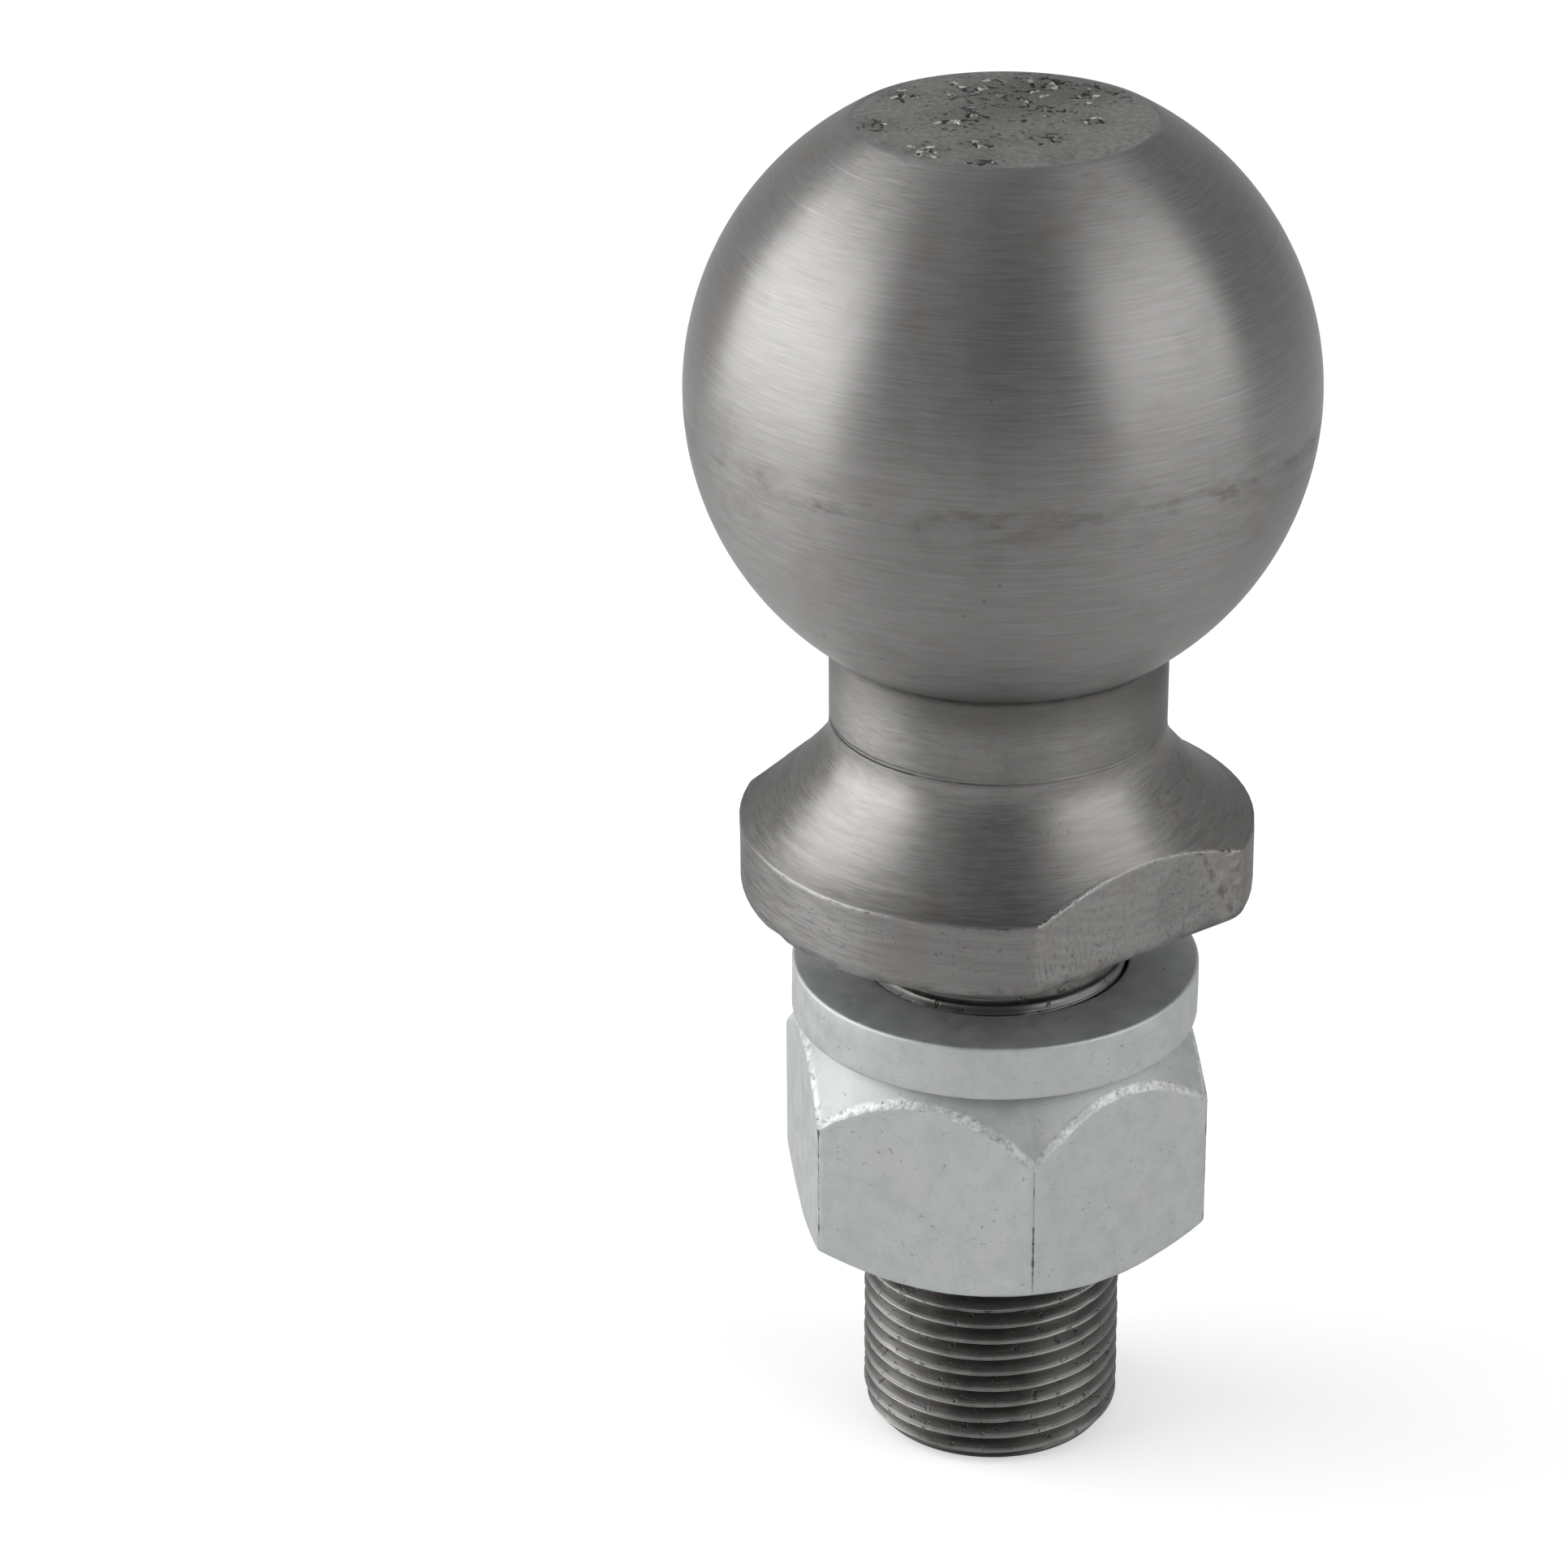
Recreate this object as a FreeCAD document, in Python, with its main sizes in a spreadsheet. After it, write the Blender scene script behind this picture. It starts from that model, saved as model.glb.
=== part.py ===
import FreeCAD, Part
import math
import os

import Sketcher

# Threaded tow ball with its split lock washer and hex nut.
# The origin is the centre of the flange's underside, on the axis of the shank.
# +Z runs up through the ball, and the shank hangs down from the origin.
# The two wrench flats of the flange face -Y and +Y.
# Every length is in millimetres and every angle in degrees.

NODE_FOLDER = "parts"
TOO_SMALL = 1e-6

# The property that holds the size of each kind of eased edge
EASED_BY = {"Fillet": "Radius", "Chamfer": "Size"}

SIZES = [
    # Ball and neck
    ("ball_diameter", 58.7375, "coupler size of the ball, 2 5/16 in"),
    ("ball_height", 50.66, "centre of the ball above the flange's underside"),
    ("crown_diameter", 28.2, "flat turned on top of the ball"),
    ("crown_edge", 0.4, "chamfer between the crown and the ball"),
    ("neck_diameter", 32.05, "straight neck below the ball"),
    ("neck_corner", 1.2, "cone where the ball runs into the neck"),
    # Flange
    ("flare_height", 14.3, "where the neck and the flare's cone would meet"),
    ("flare_blend", 0.711, "fillet at the neck's foot, as a share of its straight length"),
    ("flange_diameter", 49.2, "outside of the round flange"),
    ("flange_edge", 7.7, "height of the flange's straight edge"),
    ("flange_chamfer", 0.6, "chamfer along the flange's lower edge"),
    ("front_flat", 21.1, "axis to the wrench flat that faces -Y"),
    ("back_flat", 20.0, "axis to the wrench flat that faces +Y"),
    ("flat_cutter", 59.0, "width and breadth of the cut that mills the flats"),
    ("seat_corner", 0.6, "cone in the corner between the seat and the shank"),
    # Shank
    ("shank_diameter", 25.4, "outside of the 1 in shank and its thread"),
    ("shank_length", 58.2, "underside of the flange to the shank's end"),
    ("tip_diameter", 23.3, "flat end face of the shank"),
    ("tip_chamfer", 1.4, "length of the lead chamfer"),
    # Lock washer
    ("washer_outside", 39.5, "outside of the split washer"),
    ("washer_clearance", 0.25, "gap all round between washer and shank"),
    ("washer_thickness", 5.5, "height of the washer's section"),
    ("washer_spring", 1.0, "rise of the sprung end above the level ring"),
    ("washer_ramp", 90.0, "angle over which the sprung end rises"),
    ("washer_split", 6.5, "angle left open between the cut ends"),
    ("washer_split_place", 3.0, "angle from +X to the middle of the split"),
    # Hex nut
    ("nut_flats", 38.1, "across the flats of the 1 1/2 in hex"),
    ("nut_height", 21.9, "height of the nut"),
    ("nut_place", 13.25, "top of the nut below the flange's underside"),
    ("nut_clearance", 0.06, "gap all round between nut bore and shank"),
    ("nut_crown_drop", 2.1, "top bevel's depth at the middle of a flat"),
    ("nut_crown_angle", 56.0, "top bevel's slope from the level"),
    ("nut_foot_drop", 0.1, "lower bevel's depth at the middle of a flat"),
    ("nut_foot_angle", 34.0, "lower bevel's slope from the level"),
    ("nut_bevel_reach", 1.5, "how far the bevel's cut runs past a corner"),
    ("nut_lead", 1.0, "countersink at both ends of the bore"),
    # Fit between the pieces
    ("stack_gap", 0.05, "gap between the washer and the nut below it"),
]

doc = FreeCAD.newDocument("TowBall")
sheet = doc.addObject("Spreadsheet::Sheet", "Sizes")


def fill_sheet():
    """Write every driving size and its meaning into the sheet."""
    for row, (alias, value, meaning) in enumerate(SIZES, start=1):
        sheet.set(f"A{row}", alias)
        sheet.set(f"B{row}", str(value))
        sheet.setAlias(f"B{row}", alias)
        sheet.set(f"C{row}", meaning)
    doc.recompute()


def size(alias):
    """The present value of one driving size."""
    return float(sheet.get(alias))


def new_body(label):
    """An empty body whose label names the sub-part."""
    body = doc.addObject("PartDesign::Body", label)
    body.Label = label
    return body


def origin_feature(body, role):
    """The body's own origin plane or axis with the given role."""
    for feature in body.Origin.OriginFeatures:
        if feature.Role == role:
            return feature
    raise ValueError(role)


def plane_sketch(body, name, role):
    """A sketch on one of the body's own origin planes."""
    sketch = body.newObject("Sketcher::SketchObject", name)
    sketch.AttachmentSupport = [(origin_feature(body, role), "")]
    sketch.MapMode = "FlatFace"
    return sketch


def point(x, y):
    return FreeCAD.Vector(x, y, 0)


def line(sketch, start, end):
    """Add a straight edge and return its number."""
    return sketch.addGeometry(Part.LineSegment(point(*start), point(*end)), False)


def arc(sketch, start, middle, end):
    """Add an arc through three points and return its number."""
    return sketch.addGeometry(Part.Arc(point(*start), point(*middle), point(*end)), False)


def end_at(sketch, edge, place):
    """Number of the edge's end, 1 or 2, that lies at the place."""
    for end in (1, 2):
        if (sketch.getPoint(edge, end) - point(*place)).Length < TOO_SMALL:
            return end
    raise ValueError(f"edge {edge} has no end at {place}")


def close_chain(sketch, edges, corners):
    """Join each edge to the next, and the last to the first, at the corners."""
    for number, edge in enumerate(edges):
        following = edges[(number + 1) % len(edges)]
        corner = corners[(number + 1) % len(corners)]
        first_end = end_at(sketch, edge, corner)
        second_end = end_at(sketch, following, corner)
        sketch.addConstraint(
            Sketcher.Constraint("Coincident", edge, first_end, following, second_end)
        )


def bind(sketch, kind, name, formula, *where):
    """Add a named dimension whose value follows a formula of the sheet."""
    number = sketch.addConstraint(Sketcher.Constraint(kind, *where))
    sketch.renameConstraint(number, name)
    sketch.setExpression(f"Constraints.{name}", formula)


def settle(feature, problem):
    """Recompute, and stop if the feature or the document is not sound."""
    doc.recompute()
    if "Invalid" in feature.State or "Error" in feature.State:
        raise RuntimeError(problem)


def edges_where(shape, wanted):
    """Names of the shape's edges for which the test holds."""
    names = []
    for number, edge in enumerate(shape.Edges, start=1):
        if wanted(edge):
            names.append(f"Edge{number}")
    return names


def middle_of(edge):
    """The point half way along an edge."""
    return edge.valueAt((edge.FirstParameter + edge.LastParameter) / 2)


def build_tow_ball():
    """Ball, neck, flared flange and shank: one forging, turned all over."""
    body = new_body("tow_ball")
    ball_radius = size("ball_diameter") / 2
    ball_height = size("ball_height")
    crown_radius = size("crown_diameter") / 2
    crown_height = ball_height + math.sqrt(ball_radius**2 - crown_radius**2)
    neck_radius = size("neck_diameter") / 2
    neck_height = ball_height - math.sqrt(ball_radius**2 - neck_radius**2)
    flange_radius = size("flange_diameter") / 2
    shank_radius = size("shank_diameter") / 2
    tip_radius = size("tip_diameter") / 2
    shank_length = size("shank_length")
    chamfer_height = size("tip_chamfer") - shank_length

    corners = [
        (0, crown_height),
        (crown_radius, crown_height),
        (neck_radius, neck_height),
        (neck_radius, size("flare_height")),
        (flange_radius, size("flange_edge")),
        (flange_radius, 0),
        (shank_radius, 0),
        (shank_radius, chamfer_height),
        (tip_radius, -shank_length),
        (0, -shank_length),
    ]
    profile = plane_sketch(body, "ball_profile", "XZ_Plane")
    ball_equator = (ball_radius, ball_height)
    edges = []
    for number, corner in enumerate(corners):
        following = corners[(number + 1) % len(corners)]
        if corner[0] == crown_radius:
            edges.append(arc(profile, corner, ball_equator, following))
        else:
            edges.append(line(profile, corner, following))
    close_chain(profile, edges, corners)
    crown, ball, neck, flare, rim, seat, shank, chamfer, tip, axis = edges

    for edge in (crown, seat, tip):
        profile.addConstraint(Sketcher.Constraint("Horizontal", edge))
    for edge in (neck, rim, shank, axis):
        profile.addConstraint(Sketcher.Constraint("Vertical", edge))
    axis_foot = end_at(profile, axis, corners[9])
    profile.addConstraint(Sketcher.Constraint("PointOnObject", axis, axis_foot, -2))
    profile.addConstraint(Sketcher.Constraint("PointOnObject", ball, 3, -2))
    rim_foot = end_at(profile, rim, corners[5])
    profile.addConstraint(Sketcher.Constraint("PointOnObject", rim, rim_foot, -1))

    def across(name, formula, edge, corner, value):
        end = end_at(profile, edge, corner)
        bind(profile, "DistanceX", name, formula, -1, 1, edge, end, value)

    def up(name, formula, edge, corner, value):
        end = end_at(profile, edge, corner)
        bind(profile, "DistanceY", name, formula, -1, 1, edge, end, value)

    bind(profile, "Radius", "ball", "Sizes.ball_diameter / 2", ball, ball_radius)
    bind(profile, "DistanceY", "centre", "Sizes.ball_height", -1, 1, ball, 3, ball_height)
    across("crown", "Sizes.crown_diameter / 2", crown, corners[1], crown_radius)
    across("neck", "Sizes.neck_diameter / 2", neck, corners[3], neck_radius)
    up("flare_top", "Sizes.flare_height", flare, corners[3], size("flare_height"))
    across("flange", "Sizes.flange_diameter / 2", rim, corners[5], flange_radius)
    up("rim_top", "Sizes.flange_edge", rim, corners[4], size("flange_edge"))
    across("shank", "Sizes.shank_diameter / 2", shank, corners[6], shank_radius)
    across("tip", "Sizes.tip_diameter / 2", tip, corners[8], tip_radius)
    foot = end_at(profile, tip, corners[8])
    bind(
        profile, "DistanceY", "shank_length", "Sizes.shank_length",
        tip, foot, -1, 1, shank_length,
    )
    chamfer_ends = (
        chamfer, end_at(profile, chamfer, corners[8]),
        chamfer, end_at(profile, chamfer, corners[7]),
    )
    bind(
        profile, "DistanceY", "tip_chamfer", "Sizes.tip_chamfer",
        *chamfer_ends, size("tip_chamfer"),
    )

    turned = body.newObject("PartDesign::Revolution", "turned_form")
    turned.Profile = profile
    turned.ReferenceAxis = (profile, ["V_Axis"])
    turned.Angle = 360
    profile.Visibility = False
    settle(turned, "the turned form failed")

    # Two wrench flats are milled off the flange and the foot of its flare
    outline = plane_sketch(body, "wrench_flats", "XY_Plane")
    reach = size("flat_cutter") / 2
    for name, side in (("front", -1), ("back", 1)):
        distance = size(name + "_flat")
        near = side * distance
        far = side * reach
        box = [(-reach, near), (reach, near), (reach, far), (-reach, far)]
        sides = []
        for number, corner in enumerate(box):
            sides.append(line(outline, corner, box[(number + 1) % 4]))
        close_chain(outline, sides, box)
        for edge in (sides[0], sides[2]):
            outline.addConstraint(Sketcher.Constraint("Horizontal", edge))
        for edge in (sides[1], sides[3]):
            outline.addConstraint(Sketcher.Constraint("Vertical", edge))
        near_end = end_at(outline, sides[0], box[0])
        outer_end = end_at(outline, sides[2], box[2])
        ends = [(-1, 1, sides[0], near_end), (sides[0], near_end, sides[2], outer_end)]
        if side < 0:
            ends = [(edge_b, end_b, edge_a, end_a) for edge_a, end_a, edge_b, end_b in ends]
        place = f"Sizes.{name}_flat"
        bind(outline, "DistanceY", name + "_flat", place, *ends[0], distance)
        depth = f"Sizes.flat_cutter / 2 - {place}"
        bind(outline, "DistanceY", name + "_outer", depth, *ends[1], reach - distance)
        left_end = end_at(outline, sides[0], box[0])
        right_end = end_at(outline, sides[0], box[1])
        width = "Sizes.flat_cutter / 2"
        bind(outline, "DistanceX", name + "_left", width, sides[0], left_end, -1, 1, reach)
        bind(outline, "DistanceX", name + "_right", width, -1, 1, sides[0], right_end, reach)

    flats = body.newObject("PartDesign::Pocket", "milled_flats")
    flats.Profile = outline
    flats.Type = 0
    flats.setExpression("Length", "Sizes.flare_height")
    flats.Reversed = True
    outline.Visibility = False
    settle(flats, "the wrench flats failed")
    if flats.Shape.Volume > turned.Shape.Volume - 1:
        raise RuntimeError("the wrench flats cut nothing")

    def ease(kind, name, formula, wanted):
        base = body.Tip
        edge_break = body.newObject("PartDesign::" + kind, name)
        edge_break.Base = (base, edges_where(base.Shape, wanted))
        edge_break.setExpression(EASED_BY[kind], formula)
        settle(edge_break, f"{name} failed")

    def ring(radius, height):
        def wanted(edge):
            if edge.Curve.TypeId != "Part::GeomCircle":
                return False
            same_radius = abs(edge.Curve.Radius - radius) < 1e-3
            return same_radius and abs(edge.Curve.Center.z - height) < 1e-3
        return wanted

    def lower_rim(edge):
        middle = middle_of(edge)
        return abs(middle.z) < 1e-3 and math.hypot(middle.x, middle.y) > neck_radius

    # The straight neck runs from the cone below the ball down to the flare
    drop = "sqrt((Sizes.ball_diameter / 2)^2 - (Sizes.neck_diameter / 2)^2)"
    neck_length = f"Sizes.ball_height - {drop} - Sizes.neck_corner - Sizes.flare_height"
    flare_foot = ring(neck_radius, size("flare_height"))

    ease("Chamfer", "neck_cone", "Sizes.neck_corner", ring(neck_radius, neck_height))
    ease("Fillet", "flare_fillet", f"({neck_length}) * Sizes.flare_blend", flare_foot)
    ease("Chamfer", "seat_cone", "Sizes.seat_corner", ring(shank_radius, 0))
    ease("Chamfer", "crown_chamfer", "Sizes.crown_edge", ring(crown_radius, crown_height))
    ease("Chamfer", "rim_chamfer", "Sizes.flange_chamfer", lower_rim)
    return body


def bevel(body, name, corner_points, formulas):
    """Turn a bevel: groove a triangle, given by three corners, round the axis."""
    sketch = plane_sketch(body, name + "_profile", "XZ_Plane")
    edges = []
    for number, corner in enumerate(corner_points):
        edges.append(line(sketch, corner, corner_points[(number + 1) % 3]))
    close_chain(sketch, edges, corner_points)
    for number, (corner, (across, up)) in enumerate(zip(corner_points, formulas)):
        end = end_at(sketch, edges[number], corner)
        bind(sketch, "DistanceX", f"across{number}", across, -1, 1, edges[number], end, corner[0])
        bind(
            sketch, "DistanceY", f"up{number}", up,
            edges[number], end, -1, 1, -corner[1],
        )
    groove = body.newObject("PartDesign::Groove", name)
    groove.Profile = sketch
    groove.ReferenceAxis = (sketch, ["V_Axis"])
    groove.Angle = 360
    sketch.Visibility = False
    before = groove.BaseFeature.Shape.Volume
    settle(groove, f"{name} failed")
    if groove.Shape.Volume > before - TOO_SMALL:
        raise RuntimeError(f"{name} cuts nothing")


def build_hex_nut():
    """Hot-forged hex nut with a steep bevel on top and a light one below."""
    body = new_body("hex_nut")
    apothem = size("nut_flats") / 2
    side = size("nut_flats") / math.sqrt(3)
    top = -size("nut_place")
    foot = top - size("nut_height")

    hexagon = plane_sketch(body, "hexagon", "XY_Plane")
    corners = []
    for number in range(6):
        angle = math.radians(60 * number)
        corners.append((side * math.cos(angle), side * math.sin(angle)))
    edges = []
    for number, corner in enumerate(corners):
        edges.append(line(hexagon, corner, corners[(number + 1) % 6]))
    close_chain(hexagon, edges, corners)
    circle = hexagon.addGeometry(
        Part.Circle(point(0, 0), FreeCAD.Vector(0, 0, 1), side), True
    )
    hexagon.addConstraint(Sketcher.Constraint("Coincident", circle, 3, -1, 1))
    for number, edge in enumerate(edges):
        end = end_at(hexagon, edge, corners[number])
        hexagon.addConstraint(Sketcher.Constraint("PointOnObject", edge, end, circle))
        if number:
            hexagon.addConstraint(Sketcher.Constraint("Equal", edges[0], edge))
    first_end = end_at(hexagon, edges[0], corners[0])
    hexagon.addConstraint(Sketcher.Constraint("PointOnObject", edges[0], first_end, -1))
    bind(hexagon, "Radius", "corner_circle", "Sizes.nut_flats / sqrt(3)", circle, side)
    hexagon.setExpression("AttachmentOffset.Base.z", "-Sizes.nut_place")

    blank = body.newObject("PartDesign::Pad", "forged_blank")
    blank.Profile = hexagon
    blank.setExpression("Length", "Sizes.nut_height")
    blank.Reversed = True
    hexagon.Visibility = False
    settle(blank, "the nut's blank failed")

    # The bevels run past the corners, so that the cutting triangle stands clear
    steep = math.tan(math.radians(size("nut_crown_angle")))
    slight = math.tan(math.radians(size("nut_foot_angle")))
    inner_top = apothem - size("nut_crown_drop") / steep
    inner_foot = apothem - size("nut_foot_drop") / slight
    outer = side + size("nut_bevel_reach")
    crown_slope = "tan(Sizes.nut_crown_angle * 1 deg)"
    foot_slope = "tan(Sizes.nut_foot_angle * 1 deg)"
    crown_inner = f"Sizes.nut_flats / 2 - Sizes.nut_crown_drop / {crown_slope}"
    foot_inner = f"Sizes.nut_flats / 2 - Sizes.nut_foot_drop / {foot_slope}"
    outer_formula = "Sizes.nut_flats / sqrt(3) + Sizes.nut_bevel_reach"
    foot_formula = "Sizes.nut_place + Sizes.nut_height"
    bevel(
        body, "crown_bevel",
        [(inner_top, top), (outer, top), (outer, top - (outer - inner_top) * steep)],
        [
            (crown_inner, "Sizes.nut_place"),
            (outer_formula, "Sizes.nut_place"),
            (
                outer_formula,
                f"Sizes.nut_place + ({outer_formula} - ({crown_inner})) * {crown_slope}",
            ),
        ],
    )
    bevel(
        body, "foot_bevel",
        [(inner_foot, foot), (outer, foot), (outer, foot + (outer - inner_foot) * slight)],
        [
            (foot_inner, foot_formula),
            (outer_formula, foot_formula),
            (
                outer_formula,
                f"{foot_formula} - ({outer_formula} - ({foot_inner})) * {foot_slope}",
            ),
        ],
    )

    bore_radius = size("shank_diameter") / 2 + size("nut_clearance")
    mouth = plane_sketch(body, "bore_circle", "XY_Plane")
    circle = mouth.addGeometry(
        Part.Circle(point(0, 0), FreeCAD.Vector(0, 0, 1), bore_radius), False
    )
    mouth.addConstraint(Sketcher.Constraint("Coincident", circle, 3, -1, 1))
    formula = "Sizes.shank_diameter / 2 + Sizes.nut_clearance"
    bind(mouth, "Radius", "bore", formula, circle, bore_radius)
    bore = body.newObject("PartDesign::Pocket", "bore")
    bore.Profile = mouth
    bore.Type = 1
    bore.Midplane = True
    mouth.Visibility = False
    settle(bore, "the nut's bore failed")
    if bore.Shape.Volume > bore.BaseFeature.Shape.Volume - 1:
        raise RuntimeError("the nut's bore cuts nothing")

    def mouth_edge(edge):
        if edge.Curve.TypeId != "Part::GeomCircle":
            return False
        return abs(edge.Curve.Radius - bore_radius) < 1e-3

    lead = body.newObject("PartDesign::Chamfer", "bore_lead")
    lead.Base = (bore, edges_where(bore.Shape, mouth_edge))
    lead.setExpression("Size", "Sizes.nut_lead")
    settle(lead, "the nut's countersinks failed")
    return body


def build_lock_washer():
    """Split spring washer: a level ring whose last part coils up to the split."""
    body = new_body("lock_washer")
    inner = size("shank_diameter") / 2 + size("washer_clearance")
    outer = size("washer_outside") / 2
    low = size("stack_gap") - size("nut_place")
    high = low + size("washer_thickness")
    corners = [(inner, low), (outer, low), (outer, high), (inner, high)]

    section = plane_sketch(body, "section", "XZ_Plane")
    edges = []
    for number, corner in enumerate(corners):
        edges.append(line(section, corner, corners[(number + 1) % 4]))
    close_chain(section, edges, corners)
    bore_side = "Sizes.shank_diameter / 2 + Sizes.washer_clearance"
    rim_side = "Sizes.washer_outside / 2"
    under = "Sizes.nut_place - Sizes.stack_gap"
    over = f"{under} - Sizes.washer_thickness"
    formulas = [(bore_side, under), (rim_side, under), (rim_side, over), (bore_side, over)]
    for number, (corner, (across, below)) in enumerate(zip(corners, formulas)):
        end = end_at(section, edges[number], corner)
        bind(section, "DistanceX", f"across{number}", across, -1, 1, edges[number], end, corner[0])
        bind(section, "DistanceY", f"below{number}", below, edges[number], end, -1, 1, -corner[1])

    ring = body.newObject("PartDesign::Revolution", "level_ring")
    ring.Profile = section
    ring.ReferenceAxis = (section, ["V_Axis"])
    ring.setExpression("Angle", "360 - Sizes.washer_split - Sizes.washer_ramp")
    settle(ring, "the washer's level ring failed")
    level_volume = ring.Shape.Volume

    coil = body.newObject("PartDesign::AdditiveHelix", "sprung_end")
    coil.Profile = section
    coil.ReferenceAxis = (section, ["V_Axis"])
    coil.Mode = 0
    coil.setExpression("Pitch", "Sizes.washer_spring * 360 / Sizes.washer_ramp")
    coil.setExpression("Height", "Sizes.washer_spring")
    coil.LeftHanded = True
    section.Visibility = False
    settle(coil, "the washer's sprung end failed")
    if coil.Shape.Volume < level_volume + 1:
        raise RuntimeError("the washer's sprung end adds nothing")
    start = size("washer_split_place") + size("washer_ramp") + size("washer_split") / 2
    body.Placement.Rotation = FreeCAD.Rotation(FreeCAD.Vector(0, 0, 1), start)
    return body


def check_document(bodies):
    """Stop unless every object is sound and every body is one valid solid."""
    doc.recompute()
    for item in doc.Objects:
        if "Invalid" in item.State or "Error" in item.State:
            raise RuntimeError(f"{item.Name} is {item.State}")
    for body in bodies:
        if body.Shape.isNull() or not body.Shape.isValid():
            raise RuntimeError(f"{body.Label} has no valid shape")
        if len(body.Shape.Solids) != 1:
            raise RuntimeError(f"{body.Label} is not one solid")


def main():
    fill_sheet()
    bodies = [build_tow_ball(), build_lock_washer(), build_hex_nut()]
    check_document(bodies)
    os.makedirs(NODE_FOLDER, exist_ok=True)
    for body in bodies:
        body.Shape.exportStep(os.path.join(NODE_FOLDER, body.Label + ".step"))
        box = body.Shape.BoundBox
        print(
            body.Label, "volume", round(body.Shape.Volume, 1),
            "z", round(box.ZMin, 3), round(box.ZMax, 3),
            "x", round(box.XMin, 3), round(box.XMax, 3),
            "y", round(box.YMin, 3), round(box.YMax, 3),
        )


main()
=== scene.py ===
import math

import bmesh
import bpy
import numpy as np
from mathutils import Matrix, Vector


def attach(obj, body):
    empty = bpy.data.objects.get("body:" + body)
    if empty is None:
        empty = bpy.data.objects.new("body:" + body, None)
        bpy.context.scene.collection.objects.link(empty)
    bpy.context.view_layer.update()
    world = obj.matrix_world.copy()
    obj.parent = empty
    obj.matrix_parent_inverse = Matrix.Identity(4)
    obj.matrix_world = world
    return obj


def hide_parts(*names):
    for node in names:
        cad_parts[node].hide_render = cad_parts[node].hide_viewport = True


# Looks of the threaded tow ball. Lengths are in millimetres until a mesh is made.
# An azimuth is in degrees, counted from -Y towards +X round the shank's axis.

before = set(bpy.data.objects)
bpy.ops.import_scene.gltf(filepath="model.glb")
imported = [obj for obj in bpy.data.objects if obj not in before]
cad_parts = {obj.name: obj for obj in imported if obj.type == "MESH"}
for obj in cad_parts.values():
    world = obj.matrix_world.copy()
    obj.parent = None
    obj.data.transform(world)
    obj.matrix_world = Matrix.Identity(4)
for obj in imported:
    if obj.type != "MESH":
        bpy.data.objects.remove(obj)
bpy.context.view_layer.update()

MM = 0.001

# Ball, neck and flange; the ball stays a hair inside its solid
BALL_RADIUS = 29.345
BALL_HEIGHT = 50.66
CROWN_RADIUS = 14.1
CROWN_EASE = 0.4
CROWN_HEIGHT = BALL_HEIGHT + math.sqrt(BALL_RADIUS**2 - CROWN_RADIUS**2)
# Crowds of knocks in the crown: the middle, the reach and how many; the spread is
# a share of the reach
CROWD_SPREAD = 0.42
CROWN_CROWDS = (
    (11.0, 0.6, 3.6, 22), (9.4, 5.6, 3.6, 26), (4.5, 7.6, 4.0, 22), (4.1, 1.7, 4.4, 18),
    (-2.6, 2.4, 4.0, 22), (-2.9, 11.4, 2.0, 9), (-10.0, 6.0, 2.0, 8), (-11.0, -2.4, 2.0, 8),
    (-9.3, -7.8, 2.0, 7), (-6.0, -4.0, 2.2, 6), (-0.2, -6.2, 1.8, 8), (5.5, -5.5, 1.6, 4),
)
NECK_RADIUS = 16.025
NECK_CORNER = 1.6
NECK_SEAM = 18.9
# The flare turns out of the neck in an arc and then sags below a straight line
FLARE_TOP = 17.5
FLARE_BLEND = 5.25
FLARE_TURN = 37.7
FLARE_SAG = 0.7
FLANGE_RADIUS = 24.6
FLANGE_EDGE = 7.5
FLANGE_ROUND = 1.4
CONE_RADIUS = 13.3
FRONT_FLAT = 21.1
BACK_FLAT = 20.0

# Shank and thread
SHANK_RADIUS = 12.7
SHANK_END = -58.2
TIP_RADIUS = 11.65
TIP_CHAMFER = 1.4
PITCH = 25.4 / 14
THREAD_DEPTH = 1.1
CREST_HALF = 0.16
THREAD_TOP = -6.0
RUN_OUT = 2.4
CREST_HEIGHT = -40.649
CREST_AZIMUTH = -40.4
THREAD_NICKS = 90

# The side from which the object is looked at, and the side to its left
FRONT_AZIMUTH = -40.4
LEFT_AZIMUTH = FRONT_AZIMUTH - 90

# Washer
WASHER_INSIDE = 12.95
WASHER_OUTSIDE = 19.75
WASHER_LOW = -13.2
WASHER_THICKNESS = 5.5
WASHER_SPRING = 1.0
WASHER_RAMP = 90.0
WASHER_SPLIT = 6.5
WASHER_SPLIT_AZIMUTH = 93.0

# Nut
NUT_APOTHEM = 38.1 / 2
NUT_TOP = -13.25
NUT_FOOT = -35.15
NUT_CROWN_DROP = 2.1
NUT_CROWN_SLOPE = math.tan(math.radians(56.0))
NUT_FOOT_DROP = 0.1
NUT_FOOT_SLOPE = math.tan(math.radians(34.0))
NUT_MOUTH = 13.76
THREAD_PLAY = 0.07

# Colours that two or more materials share
# Painted shade where the ball meets the neck
JUNCTION_SHADE = (0.060, 0.058, 0.055)
WHITE = (1.0, 1.0, 1.0, 1.0)

# Finishes of the head, and of the washer and the nut, in the order of their materials
BALL, CROWN, NECK, FLARE, RIM, THREAD, END = range(7)
PLATE, CUT, BORE = range(3)


# ---- meshes ----

def smooth_min(a, b, reach):
    """The smaller of two values, with the corner between them rounded."""
    gap = np.maximum(reach - np.abs(a - b), 0) / reach
    return np.minimum(a, b) - gap * gap * reach / 4


def polar(radius, azimuth, height):
    """Points at a radius, an azimuth in degrees and a height."""
    angle = np.radians(azimuth)
    radius, angle, height = np.broadcast_arrays(radius, angle, height)
    return np.stack([radius * np.sin(angle), -radius * np.cos(angle), height], axis=-1)


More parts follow.
